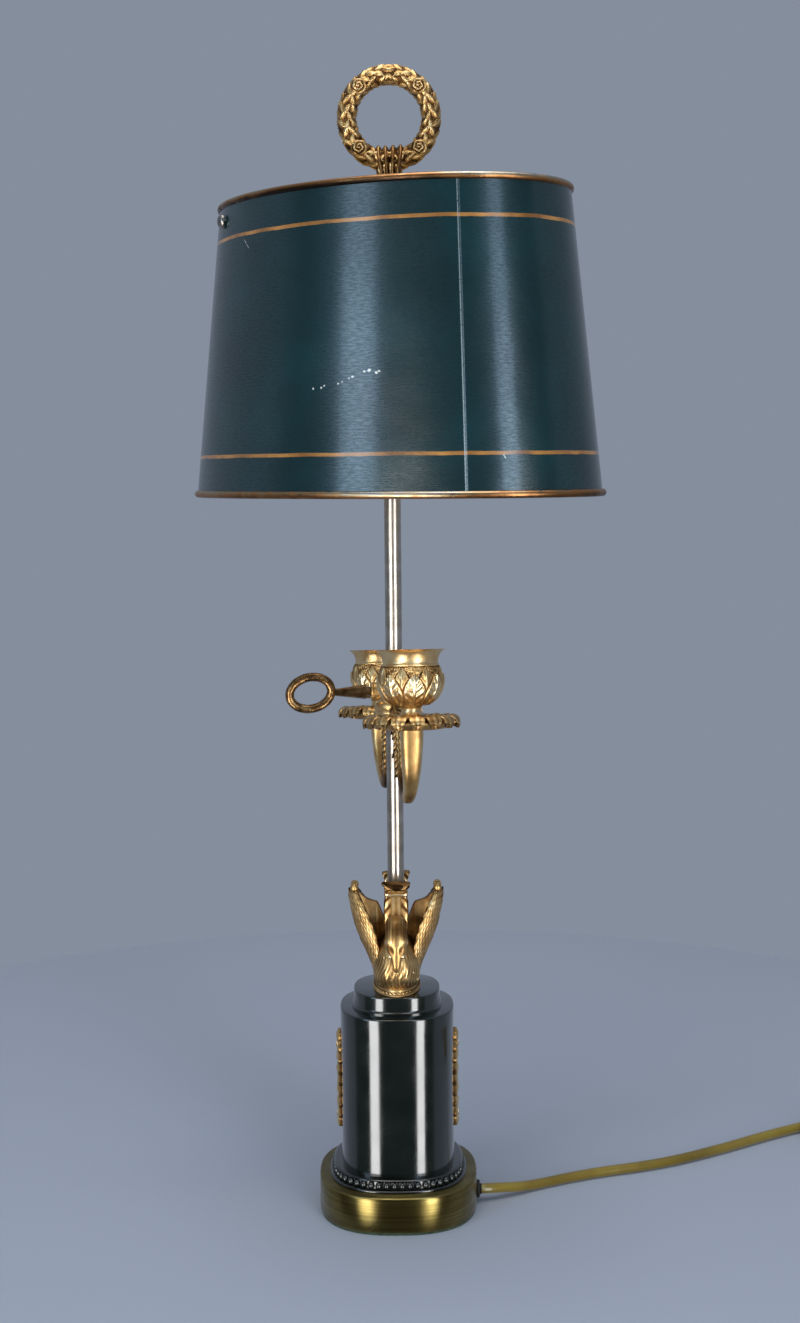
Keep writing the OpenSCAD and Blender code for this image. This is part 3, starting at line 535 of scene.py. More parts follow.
# %% Rubbed enamel
brushed_mm = add(tree, "ShaderNodeMapping", place_mm, named={"Scale": (0.02, 2.2, 1.0)})
rub = add(tree, "ShaderNodeTexNoise", named={"Vector": brushed_mm, "Scale": 1.0, "Detail": 4.0})
smeared_mm = add(tree, "ShaderNodeMapping", place_mm, named={"Scale": (0.35, 1.4, 1.0)})
mottle = add(tree, "ShaderNodeTexNoise",
             named={"Vector": smeared_mm, "Scale": 0.75, "Detail": 6.0, "Roughness": 0.6})
rough = add(tree, "ShaderNodeMapRange", mottle, 0.25, 0.75, 0.18, 0.36)
sheen = add(tree, "ShaderNodeMapRange", mottle, 0.25, 0.75, 0.8, 0.25)
dents = add(tree, "ShaderNodeTexNoise", named={"Vector": place_mm, "Scale": 0.018, "Detail": 2.0})
speckle = add(tree, "ShaderNodeTexNoise", named={"Vector": place_mm, "Scale": 1.6, "Detail": 2.0})
streaks = add(tree, "ShaderNodeMath", rub, 0.03, dents, operation="MULTIPLY_ADD")
height = add(tree, "ShaderNodeMath", speckle, 0.004, streaks, operation="MULTIPLY_ADD")
carved = add(tree, "ShaderNodeMath", marks, -0.08, height, operation="MULTIPLY_ADD")
bump = add(tree, "ShaderNodeBump", named={"Strength": 0.5, "Distance": 0.002, "Height": carved})
round_axis = add(tree, "ShaderNodeTangent", direction_type="RADIAL", axis="Z")
feed(tree, shader, Base_Color=colour, Roughness=rough, Specular_IOR_Level=sheen, Normal=bump,
     Tangent=round_axis)
print("enamel with", len(tree.nodes), "nodes")

# %% [markdown]
# The shade's inside is painted pale cream to throw the light down. The rims are wire rolled into the
# sheet's edges, gilt once and now worn to copper and bare tin, so their colour drifts round the oval:
# the mesh holds that drift in its depth, 0 for silvery tin, 0.5 for copper and 1 for dark places.

# %% Rims and lining
tree, shader = finish("cream_enamel", "#d9d2bd", Roughness=0.5)
spot = add(tree, "ShaderNodeTexCoord").outputs["Object"]
stain = add(tree, "ShaderNodeTexNoise", named={"Vector": spot, "Scale": 1000 / 40, "Detail": 5.0})
tone = add(tree, "ShaderNodeValToRGB", stain, stops=((0.3, "#c4b896"), (0.6, "#ddd6c2"), (0.8, "#e6e1d2")))
fine = add(tree, "ShaderNodeTexNoise", named={"Vector": spot, "Scale": 1000 / 1.2, "Detail": 2.0})
bump = add(tree, "ShaderNodeBump", named={"Strength": 0.15, "Distance": 0.0002, "Height": fine})
feed(tree, shader, Base_Color=tone, Normal=bump)

tree, shader = finish("copper_rim", "#b0744a", Metallic=1.0)
spot = add(tree, "ShaderNodeTexCoord").outputs["Object"]
drift = add(tree, "ShaderNodeAttribute", attribute_name="depth").outputs["Fac"]
worn = add(tree, "ShaderNodeTexNoise", named={"Vector": spot, "Scale": 1000 / 7, "Detail": 5.0})
shifted = add(tree, "ShaderNodeMath", worn, 0.5, -0.25, operation="MULTIPLY_ADD")
total = add(tree, "ShaderNodeMath", drift, shifted, operation="ADD", use_clamp=True)
tone = add(tree, "ShaderNodeValToRGB", total,
           stops=((0.05, "#a9a49c"), (0.3, "#b09a78"), (0.5, "#ad7a4e"), (0.72, "#75502f"),
                  (0.95, "#33271e")))
rough = add(tree, "ShaderNodeMapRange", worn, 0.3, 0.7, 0.24, 0.45)
nicks = add(tree, "ShaderNodeTexNoise", named={"Vector": spot, "Scale": 1000 / 1.5, "Detail": 3.0})
bump = add(tree, "ShaderNodeBump", named={"Strength": 0.25, "Distance": 0.0003, "Height": nicks})
feed(tree, shader, Base_Color=tone, Roughness=rough, Normal=bump)
print("rim and lining ready")

# %% [markdown]
# ## The plainer finishes
# The cord is round gold plastic, clear enough that the light goes a little way in, and its plug is
# moulded from the same. The bulbs are opal glass. The turn knobs are brown bakelite, the bushing is
# rubber, the weight is raw cast iron and the pad is woven baize.

# %% Plain finishes
def plain(name, colours, size_mm, grain_mm, bumpy, **sockets):
    """A finish with one soft drift of colour and one fine grain."""
    tree, shader = finish(name, colours[1], **sockets)
    spot = add(tree, "ShaderNodeTexCoord").outputs["Object"]
    cloud = add(tree, "ShaderNodeTexNoise", named={"Vector": spot, "Scale": 1000 / size_mm, "Detail": 4.0})
    tone = add(tree, "ShaderNodeValToRGB", cloud, stops=zip((0.3, 0.5, 0.7), colours))
    grain = add(tree, "ShaderNodeTexNoise", named={"Vector": spot, "Scale": 1000 / grain_mm, "Detail": 3.0})
    bump = add(tree, "ShaderNodeBump", named={"Strength": bumpy, "Distance": 0.0003, "Height": grain})
    feed(tree, shader, Base_Color=tone, Normal=bump)


plain("cord_gold", ("#6b5a1c", "#816c26", "#93802f"), 40, 1.5, 0.02, Roughness=0.28, Coat_Weight=0.3,
      Subsurface_Weight=0.15, Subsurface_Scale=0.003)
plain("plug_gold", ("#6f5a1e", "#8c7428", "#9c8434"), 12, 0.8, 0.08, Roughness=0.35)
plain("opal_glass", ("#f1eee4", "#f4f2ea", "#f7f5ef"), 30, 3, 0.02, Roughness=0.12, Subsurface_Weight=0.4,
      Subsurface_Scale=0.004)
plain("black_plastic", ("#1c1410", "#2b1e15", "#38271a"), 6, 1, 0.05, Roughness=0.3, Coat_Weight=0.4)
plain("black_rubber", ("#161514", "#1f1d1b", "#2a2825"), 5, 0.6, 0.2, Roughness=0.65)
plain("key_bronze", ("#573f27", "#876641", "#ae8c5e"), 5, 1.2, 0.1, Roughness=0.32, Metallic=1.0)
plain("cast_iron", ("#3a3a3c", "#4a4a4b", "#5a5856"), 4, 0.7, 0.6, Roughness=0.7, Metallic=0.8)
plain("baize", ("#27331f", "#33422a", "#3f4e33"), 3, 0.6, 0.7, Roughness=0.95, Sheen_Weight=0.4)
print(len(FINISH), "finishes")

# %% [markdown]
# ## Geometry trees
# Cast ornament repeats: leaf tips round a pan, feathers on a wing, ribs on a ring. Two geometry trees
# make all of it. The first lays a small piece on each point of a host mesh, which stores the surface's
# normal, the way that the piece points and its size. The second spaces pieces evenly round a
# round-cornered outline. Both end in real meshes with a material, because instances can't be exported.

# %% Geometry trees
def new_tree(name, **inputs):
    """An empty geometry tree with named inputs. Each value is a socket kind and its default."""
    tree = bpy.data.node_groups.new(name, "GeometryNodeTree")
    tree.is_modifier = True
    tree.interface.new_socket("Geometry", in_out="INPUT", socket_type="NodeSocketGeometry")
    for key, (kind, value) in inputs.items():
        made = tree.interface.new_socket(key.replace("_", " "), in_out="INPUT",
                                         socket_type="NodeSocket" + kind)
        if value is not None:
            made.default_value = value
    tree.interface.new_socket("Geometry", in_out="OUTPUT", socket_type="NodeSocketGeometry")
    return tree, add(tree, "NodeGroupInput").outputs


def set_down(tree, given, points, turn, size):
    """The end of both trees: one piece on each point, shaken a little, made real and given its finish."""
    shake = add(tree, "FunctionNodeRandomValue", (-1.0,) * 3, (1.0,) * 3, data_type="FLOAT_VECTOR",
                named={"Seed": given["Seed"]})
    small = add(tree, "ShaderNodeVectorMath", shake, given["Jitter"], operation="SCALE")
    loose = add(tree, "FunctionNodeRotateRotation", turn, add(tree, "FunctionNodeEulerToRotation", small),
                rotation_space="LOCAL")
    grown = add(tree, "ShaderNodeMath", add(tree, "ShaderNodeSeparateXYZ", small), 1.0, operation="ADD")
    scale = add(tree, "ShaderNodeMath", grown, size, operation="MULTIPLY")
    piece = add(tree, "GeometryNodeObjectInfo", given["Piece"]).outputs["Geometry"]
    laid = add(tree, "GeometryNodeInstanceOnPoints", points,
               named={"Instance": piece, "Rotation": loose, "Scale": scale})
    real = add(tree, "GeometryNodeRealizeInstances", laid)
    done = add(tree, "GeometryNodeSetMaterial", real, named={"Material": given["Finish"]})
    add(tree, "NodeGroupOutput", done)


print("tree tools ready")

# %% Pieces on a surface
laid_tree, given = new_tree("laid_on_a_surface", Piece=("Object", None), Jitter=("Float", 0.1),
                            Seed=("Int", 1), Finish=("Material", None))
up, lie = [add(laid_tree, "GeometryNodeInputNamedAttribute", key, data_type="FLOAT_VECTOR")
           for key in ("up", "lie")]
size = add(laid_tree, "GeometryNodeInputNamedAttribute", "size", data_type="FLOAT")
turn = add(laid_tree, "FunctionNodeAxesToRotation", up, lie, primary_axis="Z", secondary_axis="X")
set_down(laid_tree, given, given["Geometry"], turn, size)
print(len(laid_tree.nodes), "nodes lay pieces on a surface")

# %% Pieces round an outline
OUTLINE_STEPS = 360
ring_tree, given = new_tree("round_an_outline", Piece=("Object", None), Count=("Int", 12),
                            Half_Width=("Float", 0.02), Half_Depth=("Float", 0.02),
                            Squareness=("Float", 2.0), Height=("Float", 0.0), Jitter=("Float", 0.0),
                            Seed=("Int", 1), Finish=("Material", None))
dots = add(ring_tree, "GeometryNodeMeshLine", named={"Count": OUTLINE_STEPS})
angle = add(ring_tree, "ShaderNodeMath", add(ring_tree, "GeometryNodeInputIndex"),
            2 * math.pi / OUTLINE_STEPS, operation="MULTIPLY")
power = add(ring_tree, "ShaderNodeMath", 2.0, given["Squareness"], operation="DIVIDE")
sides = []
for kind, half in (("COSINE", "Half Width"), ("SINE", "Half Depth")):
    wave = add(ring_tree, "ShaderNodeMath", angle, operation=kind)
    bent = add(ring_tree, "ShaderNodeMath", add(ring_tree, "ShaderNodeMath", wave, operation="ABSOLUTE"),
               power, operation="POWER")
    signed = add(ring_tree, "ShaderNodeMath", bent, add(ring_tree, "ShaderNodeMath", wave, operation="SIGN"),
                 operation="MULTIPLY")
    sides.append(add(ring_tree, "ShaderNodeMath", signed, given[half], operation="MULTIPLY"))
where = add(ring_tree, "ShaderNodeCombineXYZ", sides[0], sides[1], given["Height"])
bent_line = add(ring_tree, "GeometryNodeSetPosition", dots, named={"Position": where})
closed = add(ring_tree, "GeometryNodeSetSplineCyclic", add(ring_tree, "GeometryNodeMeshToCurve", bent_line),
             named={"Cyclic": True})
even = add(ring_tree, "GeometryNodeResampleCurve", closed, named={"Count": given["Count"]})
outward = add(ring_tree, "ShaderNodeVectorMath", add(ring_tree, "GeometryNodeInputTangent"), (0.0, 0.0, 1.0),
              operation="CROSS_PRODUCT")
turn = add(ring_tree, "FunctionNodeAxesToRotation", (0.0, 0.0, 1.0), outward,
           primary_axis="Z", secondary_axis="X")
set_down(ring_tree, given, even, turn, 1.0)
print(len(ring_tree.nodes), "nodes set pieces round an outline")

# %% Growing pieces
def points_with(rows):
    """A host mesh of loose points: rows of place, normal, lie and size, in millimetres."""
    mesh = bpy.data.meshes.new("host")
    mesh.from_pydata([tuple(np.array(row[0]) * MM) for row in rows], [], [])
    for column, key in ((1, "up"), (2, "lie")):
        layer = mesh.attributes.new(key, "FLOAT_VECTOR", "POINT")
        layer.data.foreach_set("vector", np.array([row[column] for row in rows], np.float32).reshape(-1))
    layer = mesh.attributes.new("size", "FLOAT", "POINT")
    layer.data.foreach_set("value", np.array([row[3] for row in rows], np.float32))
    return put("host", mesh)


def grow(name, tree, finish_name, piece, spots=(), **inputs):
    """Runs a geometry tree and returns what it makes as a plain mesh object. The piece is used up.

    The first tree needs spots to lay its pieces on, in the rows that points_with takes.
    """
    host = points_with(spots)
    modifier = host.modifiers.new("grow", "NODES")
    modifier.node_group = tree
    socket = {item.name: item.identifier for item in tree.interface.items_tree if item.in_out == "INPUT"}
    inputs.update(Piece=piece, Finish=FINISH[finish_name])
    for key, value in inputs.items():
        modifier[socket[key.replace("_", " ")]] = value
    seen = host.evaluated_get(bpy.context.evaluated_depsgraph_get())
    mesh = bpy.data.meshes.new_from_object(seen)
    host.modifiers.remove(modifier)
    bpy.data.objects.remove(host)
    bpy.data.objects.remove(piece)
    mesh.name = name
    return put(name, mesh)


print("growing tools ready")

# %% Leaves and relief
def leaf(name, finish_name, long, half_width, thick, ribs, rows, sides, curl=0.0, tip=0.75):
    """A cast leaf or feather along X with a midrib, on its origin. Sizes are in millimetres."""
    share = np.linspace(0, 1, rows)[:, None]
    half = half_width * np.clip(np.sin(np.pi * share**tip), 0.06, None)
    t = circle(sides)
    across, front = np.abs(np.cos(t)), np.sin(t)
    midrib = ribs * (crest(across, 0, 0.22) - 0.5 * crest(across, 0.45, 0.2)) * (front > 0)
    crown = np.clip(front, 0, None) * (0.55 + 0.45 * np.sin(np.pi * share)) - 0.35 * (front < 0)
    high = thick * (crown + midrib)
    rings = np.stack([long * share + 0 * t, half * np.cos(t), high + curl * share**2], 2)
    depth = 1 - np.clip(high / thick, 0, 1) * (0.75 + 0.25 * share)
    return solid(name, rings, finish_name, depth=depth, crease=60)


def raised(rings, lift):
    """Rings with every point moved out along the surface's normal by lift, in millimetres."""
    rings = np.asarray(rings, float)
    normal = np.cross(np.roll(rings, -1, 1) - np.roll(rings, 1, 1), np.gradient(rings, axis=0))
    normal /= np.maximum(np.linalg.norm(normal, axis=2, keepdims=True), 1e-9)
    outwards = np.sign(((rings - rings.mean(1, keepdims=True)) * normal).sum())
    return rings + normal * outwards * np.asarray(lift)[..., None]


def moved(piece, matrix):
    """The piece with its mesh moved by a matrix in metres."""
    piece.data.transform(matrix)
    return piece


def span(node):
    """The lowest and highest corner of a frame node, in millimetres."""
    low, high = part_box(node)
    return np.array(low) / MM, np.array(high) / MM


print("relief tools ready")

# %% [markdown]
# ## Base and column
# The base is a stack: a brass drum on a baize pad, a lacquered ring with ribs, the column and a step.
# All have the same round-cornered plan, a square whose sides bulge, which one formula with a squareness
# of 2.5 gives. Lofting that outline through rows of half width and height makes each moulding smooth,
# where the frame has flat facets, and small rounded edges catch the light as polished edges do.

# %% Drum, column and step
SQUARE = 2.5
INNER = 6
DRUM_WALL = 1.6
DRUM_TOP = 2.0
COVE = 1.4


def moulding(rows):
    """Rings of a round-cornered moulding through rows of half width and height."""
    return [outline(half, half, z, SQUARE, 256) for half, z in rows]


drum_low, drum_high = span("base_drum")
half, z0, z1 = drum_high[0], drum_low[2], drum_high[2]
drum_rows = [(half - DRUM_WALL, z0), (half - 0.3, z0), (half, z0 + 0.3), (half, z1 - 1.1),
             (half - 0.15, z1 - 0.6), (half - 0.5, z1 - 0.2), (half - 1.1, z1), (INNER, z1),
             (INNER, z1 - DRUM_TOP), (half - DRUM_WALL, z1 - DRUM_TOP)]
place(solid("drum_shell", moulding(drum_rows), "antique_brass", loop=True, crease=50),
      "base", "antique_brass", "base_drum")

column_low, column_high = span("column")
half, z0, z1 = column_high[0], column_low[2], column_high[2]
column_rows = [(half, z0), (half, z0 + 0.4), *[(half, z) for z in np.linspace(z0 + 1, z1 - 1, 12)],
               (half - 0.1, z1 - 0.5), (half - 0.4, z1 - 0.15), (half - 0.9, z1), (INNER, z1)]
place(solid("column_body", moulding(column_rows), "green_lacquer", crease=50),
      "base", "green_lacquer", "column")

step_low, step_high = span("column_step")
half, z0, z1 = step_high[0] - COVE, step_low[2], step_high[2]
cove = [(half + COVE * (1 - math.sin(t)), z0 + COVE + COVE * (1 - math.cos(t)))
        for t in np.linspace(0, math.pi / 2, 6)]
step_rows = [(half + COVE, z0), (half + COVE, z0 + 1.2), *cove, (half, z1 - 1.2), (half - 0.1, z1 - 0.5),
             (half - 0.4, z1 - 0.15), (half - 0.9, z1), (INNER, z1)]
place(solid("column_top", moulding(step_rows), "green_lacquer", crease=50),
      "base", "green_lacquer", "column_step")
print("drum, column and step")

# %% [markdown]
# ## Ribbed ring
# Ribs like a row of standing beads go round under the column. They repeat, so the ring tree spaces one
# small rib evenly round the outline, which angles alone wouldn't do on a squarish plan.

# %% Ribbed ring
RIBS = 54
LEDGE = 3.4
RIB_HALF = (2.1, 1.9)
RIB_GAP = 1.5
ring_low, ring_high = span("gadroon_ring")
half, z0, z1 = ring_high[0], ring_low[2], ring_high[2]
inner = half - LEDGE
ring_rows = [(half - 0.2, z0), (half, z0 + 0.3), (half, z0 + 1.2), (half - 0.3, z0 + 1.5), (inner, z0 + 1.6),
             (inner, z1 - 1.5), (inner + 0.7, z1 - 1.3), (inner + 1.1, z1 - 0.9), (inner + 0.9, z1 - 0.4),
             (inner + 0.2, z1 - 0.1), (inner - 0.6, z1), (INNER, z1)]
core = solid("ring_core", moulding(ring_rows), "black_lacquer", crease=50)
t = circle(12)
s = np.linspace(0, 1, 9)[:, None]
bulge = np.sqrt(np.clip(1 - (2 * s - 1) ** 2, 0.02, None))
rib = np.stack([RIB_HALF[0] * bulge * np.cos(t), RIB_HALF[1] * bulge**0.7 * np.sin(t),
                (z1 - z0 - 2 * RIB_GAP) * s + 0 * t], 2)
rib = solid("rib", rib, "black_lacquer", crease=80)
ribs = grow("ribs", ring_tree, "black_lacquer", rib, Count=RIBS, Half_Width=(inner + 0.3) * MM,
            Half_Depth=(inner + 0.3) * MM, Squareness=SQUARE, Height=(z0 + RIB_GAP) * MM)
place(join("ribbed_ring", [core, ribs]), "base", "black_lacquer", "gadroon_ring")
print(RIBS, "ribs")

# %% [markdown]
# ## Side mounts
# A cast strip of husks and leaves is pinned to each side of the column. It is one closed slab whose
# front follows a height formula: a chain of husks down the middle, leaf ribs that slant out from it, and
# an edge that swells and pinches with the leaves.

# %% Side mounts
def side_strip(name, facing):
    """The foliate strip on the side that facing gives: 1 for +X and -1 for -X."""
    low, high = span("side_mount_" + name)
    tall, husks, leaves = high[2] - low[2], 6, 9
    v, u = np.meshgrid(np.linspace(0, 1, 190), np.linspace(-1, 1, 29), indexing="ij")
    half = 3.4 + 3.4 * np.sin(np.pi * v) ** 0.6 + 1.0 * np.abs(np.sin(leaves * np.pi * v))
    half *= np.minimum(1, np.minimum(v, 1 - v) * 26 + 0.35)
    husk = crest(u, 0, 0.3) * np.abs(np.sin(husks * np.pi * v)) ** 0.5
    vein = 0.5 + 0.5 * np.cos(2 * np.pi * (2 * leaves * v + 1.5 * np.abs(u)))
    lobe = np.abs(np.sin(leaves * np.pi * v + 0.9 * np.abs(u))) ** 0.6
    rise = 0.9 + 1.6 * husk + (0.8 * lobe + 0.6 * vein * lobe) * (1 - 0.6 * np.abs(u) ** 4) * (1 - 0.6 * husk)
    x = facing * (column_high[0] + np.clip(rise, 0.2, 3.1))
    front = np.stack([x, half * u, low[2] + tall * v], 2)
    back = np.stack([np.full_like(x, facing * (column_high[0] - 0.9)), half * u * 0.98, low[2] + tall * v], 2)
    rings = np.concatenate([front, back[:, ::-1]], 1)
    depth = np.concatenate([0.66 - 0.75 * np.clip(rise / 2.9, 0, 1), np.ones_like(x)], 1)
    piece = solid("side_strip_" + name, rings, "gilt_brass", depth=depth, crease=70)
    place(piece, "base", "gilt_brass", "side_mount_" + name)


side_strip("left", -1)
side_strip("right", 1)
print("side strips")

# %% [markdown]
# ## Stem and plinth
# The stem is a nickelled steel tube, polished bright and a little worn. Round its foot stands the swans'
# oval plinth, whose rim is a rope: beads laid aslant round an ellipse by the ring tree.

# %% Stem and plinth
stem_low, stem_high = span("stem_tube")
STEM_R = stem_high[0]
tube = [(STEM_R - 1, stem_low[2]), (STEM_R, stem_low[2]), *[(STEM_R, z) for z in np.linspace(30, 440, 14)],
        (STEM_R, stem_high[2]), (STEM_R - 1, stem_high[2])]
place(solid("stem", turned(tube, 64), "nickel_tube", loop=True, crease=50),
      "base", "nickel_tube", "stem_tube")

plinth_low, plinth_high = span("swan_plinth")
wide, deep, z0, z1 = plinth_high[0], plinth_high[1], plinth_low[2], plinth_high[2]
rows = [(0.9, z0), (0.2, z0 + 0.3), (0.8, z0 + 1.0), (1.3, z0 + 1.5), (1.3, z1 - 1.0), (1.7, z1 - 0.3),
        (2.4, z1)]
slab = [outline(wide - inset, deep - inset, z, 2, 128) for inset, z in rows]
slab = solid("plinth_slab", slab, "gilt_brass", depth=0.35, crease=50)
bead = leaf("bead", "gilt_brass", 2.9, 0.8, 0.95, rows=7, sides=10, tip=1.0, ribs=0.0)
moved(bead, about("Y", 90) @ about("Z", 62) @ shift(-1.45, 0, 0))
rope = grow("rope", ring_tree, "gilt_brass", bead, Count=46, Half_Width=(wide - 1.1) * MM,
            Half_Depth=(deep - 1.1) * MM, Height=(z0 + 1.9) * MM)
place(join("plinth", [slab, rope]), "base", "gilt_brass", "swan_plinth")
print("stem and plinth")

# %% [markdown]
# ## Swans
# Two swan castings stand back to back round the stem. Each has a breast, two raised wings, a neck that
# bends its head onto the breast, and an acanthus leaf that rises behind the head and curls over. The
# breast, neck and leaf are lofts along a few given rows, with relief pushed along the normals. The
# wings are quarter ovals at rising heights, and the first tree lays the feathers on them in rows.

# %% Swan rows
# Breast: height, half width, middle y and half depth. Neck: y, height, half width and half depth.
# Wing: height, front edge x and y, side edge x. Web: x, foot and top. Leaf: y, height and half width.
SWAN_Z = plinth_high[2]
JOINT_Y = -0.1
BREAST = [(0, 11.5, -11.5, 10), (4, 12.8, -12, 11.2), (9, 13.2, -12.5, 11.8), (15, 12, -12.8, 11.2),
          (21, 10, -12.5, 9.4), (26, 7.6, -12.5, 7.2), (30.4, 5.8, -13, 5.6)]
NECK = [(-13, 27, 4.6, 5.6), (-13.2, 32, 4.6, 5.8), (-14.5, 35.5, 4.5, 6), (-17.5, 37, 4.4, 6),
        (-20.5, 35.5, 4.3, 6), (-22.6, 32, 4.3, 6.1), (-24, 28, 4.3, 6.2), (-25, 23.5, 3.5, 5.4),
        (-25.8, 19, 2.3, 3.3), (-26.2, 14.5, 1.7, 2.3), (-26, 11, 0.9, 1.3)]
WING = [(0, 10.4, -9.8, 12.4), (8, 10.2, -13, 14), (16, 9.8, -15, 17), (24, 10.8, -15.2, 20.5),
        (32, 13, -14.6, 23.4), (40, 16.2, -12.6, 25.4), (47, 19.6, -9.6, 26.6), (52, 22, -6.6, 26.6),
        (55, 23.2, -4.6, 26.2), (57.3, 24, -2, 25.4)]
WEB = [(3, 12, 30), (7, 12, 37), (10.4, 12, 45), (13, 13, 46.4), (17, 21, 48), (21, 31, 51.4),
       (24.4, 42, 55.4)]
WING_T = 1.6
LEAF = [(-8.6, 24, 5), (-8.2, 32, 6.4), (-8, 42, 6.8), (-8.2, 50, 6.2), (-9.4, 56, 6.6), (-12.2, 59.4, 7.8),
        (-15.2, 59, 7.6), (-16.4, 56.4, 5)]
LEAF_T = 1.05
print("swan rows in millimetres above the plinth")

# %% Wings
WING_STEPS = 26
FEATHERS = 9
SHADED = 0.62


def wing_arc(row, t, side):
    """Points on a wing's outer surface at one height, from its front edge round to the joint."""
    z, front_x, front_y, side_x = row
    return np.stack([side * (front_x + (side_x - front_x) * np.sin(t)), front_y * np.cos(t), 0 * t + z], -1)


def wing(side):
    """One wing: a thin curved blade, ribbed along its height outside and smooth inside."""
    t = np.linspace(0, np.pi / 2, WING_STEPS)
    sideways, backwards, thick = [np.linspace(*ends, WING_STEPS) for ends in ((0.4, 1), (1, 0.2), (1, 0.4))]
    inwards = np.stack([side * sideways, -backwards, 0 * t], 1) * WING_T * thick[:, None]
    rings, depth = [], []
    for row in smooth(WING, 64):
        outer = wing_arc(row, t, side)
        share = row[0] / WING[-1][0]
        ridge = 0.25 * np.cos(9 * t + 3 * share) * min(1, (1 - share) * 6)
        outer += np.stack([0.6 * side * ridge, -0.5 * ridge, 0 * t], 1)
        ring = np.concatenate([outer, (outer - inwards)[::-1]])
        ring[:, 1] = np.minimum(ring[:, 1], JOINT_Y)
        rings.append(ring)
        depth.append(np.concatenate([0.25 - ridge, 0 * t + SHADED]))
    return solid("wing", rings, "gilt_brass", depth=depth, crease=50)


def feather_hosts(side):
    """Where the feathers lie on a wing: rows up the blade, each shifted half a step."""
    rows = smooth(WING, 240)
    hosts = []
    for band, z in enumerate(np.arange(2.0, 50.0, 3.0)):
        i = int(np.argmin(np.abs(rows[:, 0] - z)))
        for k in range(FEATHERS):
            t = (k + 0.5 * (band % 2) + 0.3) / FEATHERS * (np.pi / 2)
            here = wing_arc(rows[i], t, side)
            lie = unit(wing_arc(rows[i + 2], t, side) - here)
            normal = unit(np.cross(wing_arc(rows[i], t + 0.02, side) - here, lie) * side)
            if here[1] <= JOINT_Y - 1.2:
                hosts.append((here + normal * 0.05, normal, lie, 0.8 + 0.3 * z / 50))
    return hosts


def feathered_wing(side):
    """A wing with its web, the knob at its tip and its feathers."""
    plate = [[(side * x, y, z) for y, z in ((JOINT_Y, foot), (-1.8, foot), (-1.8, top - 0.5), (-1.4, top),
                                            (JOINT_Y, top))] for x, foot, top in smooth(WEB, 30)]
    web = solid("web", plate, "gilt_brass", depth=SHADED, crease=50)
    knob_rows = ((0.1, -3), (1.7, -2.2), (2.4, -0.6), (2.3, 0.9), (1.4, 2), (0.1, 2.4))
    knob = solid("knob", turned(knob_rows, 20), "gilt_brass", depth=0.35, crease=80)
    feather = leaf("feather", "gilt_brass", 6.4, 1.3, 0.45, curl=0.1, ribs=0.5, rows=6, sides=10)
    feathers = grow("feathers", laid_tree, "gilt_brass", feather, feather_hosts(side), Jitter=0.03,
                    Seed=3 + side)
    return [wing(side), web, moved(knob, shift(side * 24, -4.6, 55)), feathers]


print("wings of", len(feather_hosts(1)), "feathers")

# %% Breast, neck and leaf
def breast():
    """The body: an upright loft, chased with feather strokes and with rounded shoulders."""
    z, half_width, y, half_depth = smooth(BREAST, 44).T[..., None]
    t = circle(96)
    rings = np.stack([half_width * np.cos(t), y + half_depth * np.sin(t), z + 0 * t], 2)
    share = z / z[-1]
    strokes = 0.32 * np.cos(34 * t + 5 * np.sin(9 * share)) + 0.18 * np.cos(61 * t + 14 * share)
    strokes *= (1 - share) ** 0.6
    shoulders = 1.5 * crest(np.abs(np.cos(t)), 0.42, 0.24) * (np.sin(t) < 0) * crest(share, 0.25, 0.22)
    rings = raised(rings, strokes + shoulders)
    rings[..., 1] = np.minimum(rings[..., 1], JOINT_Y)
    return solid("breast", rings, "gilt_brass", depth=0.3 - strokes + 0.25 * share, crease=60)


def neck():
    """Neck and head in one loft, with a brow, hollow cheeks and down, and the two eyes."""
    rows = smooth(NECK, 76)
    path = np.stack([0 * rows[:, 0], rows[:, 0], rows[:, 1]], 1)
    rings = sweep(path, rows[:, 2], rows[:, 3], (1, 0, 0), 40, 2.2)
    s = np.linspace(0, 1, 76)[:, None]
    t = circle(40)
    brow = 0.5 * crest(s, 0.6, 0.035) * np.sin(t) ** 2
    cheek = -0.8 * crest(s, 0.7, 0.05) * crest(np.abs(np.sin(t)), 0.55, 0.3)
    down = 0.14 * np.cos(22 * t + 4 * s) * (s < 0.62)
    # crown is painted shade on top of the head, where the neck bends down
    crown = 0.35 * crest(s, 0.46, 0.1)
    depth = 0.4 - down - brow - cheek * 0.6 + crown
    parts = [solid("neck", raised(rings, brow + cheek + down), "gilt_brass", depth=depth, crease=70)]
    for side in (-1, 1):
        ball = turned(((0.1, -1.3), (0.9, -0.9), (1.3, 0), (0.9, 0.9), (0.1, 1.3)), 12)
        parts.append(moved(solid("eye", ball, "gilt_brass", crease=80), shift(side * 3.7, -27.2, 20.6)))
    return parts


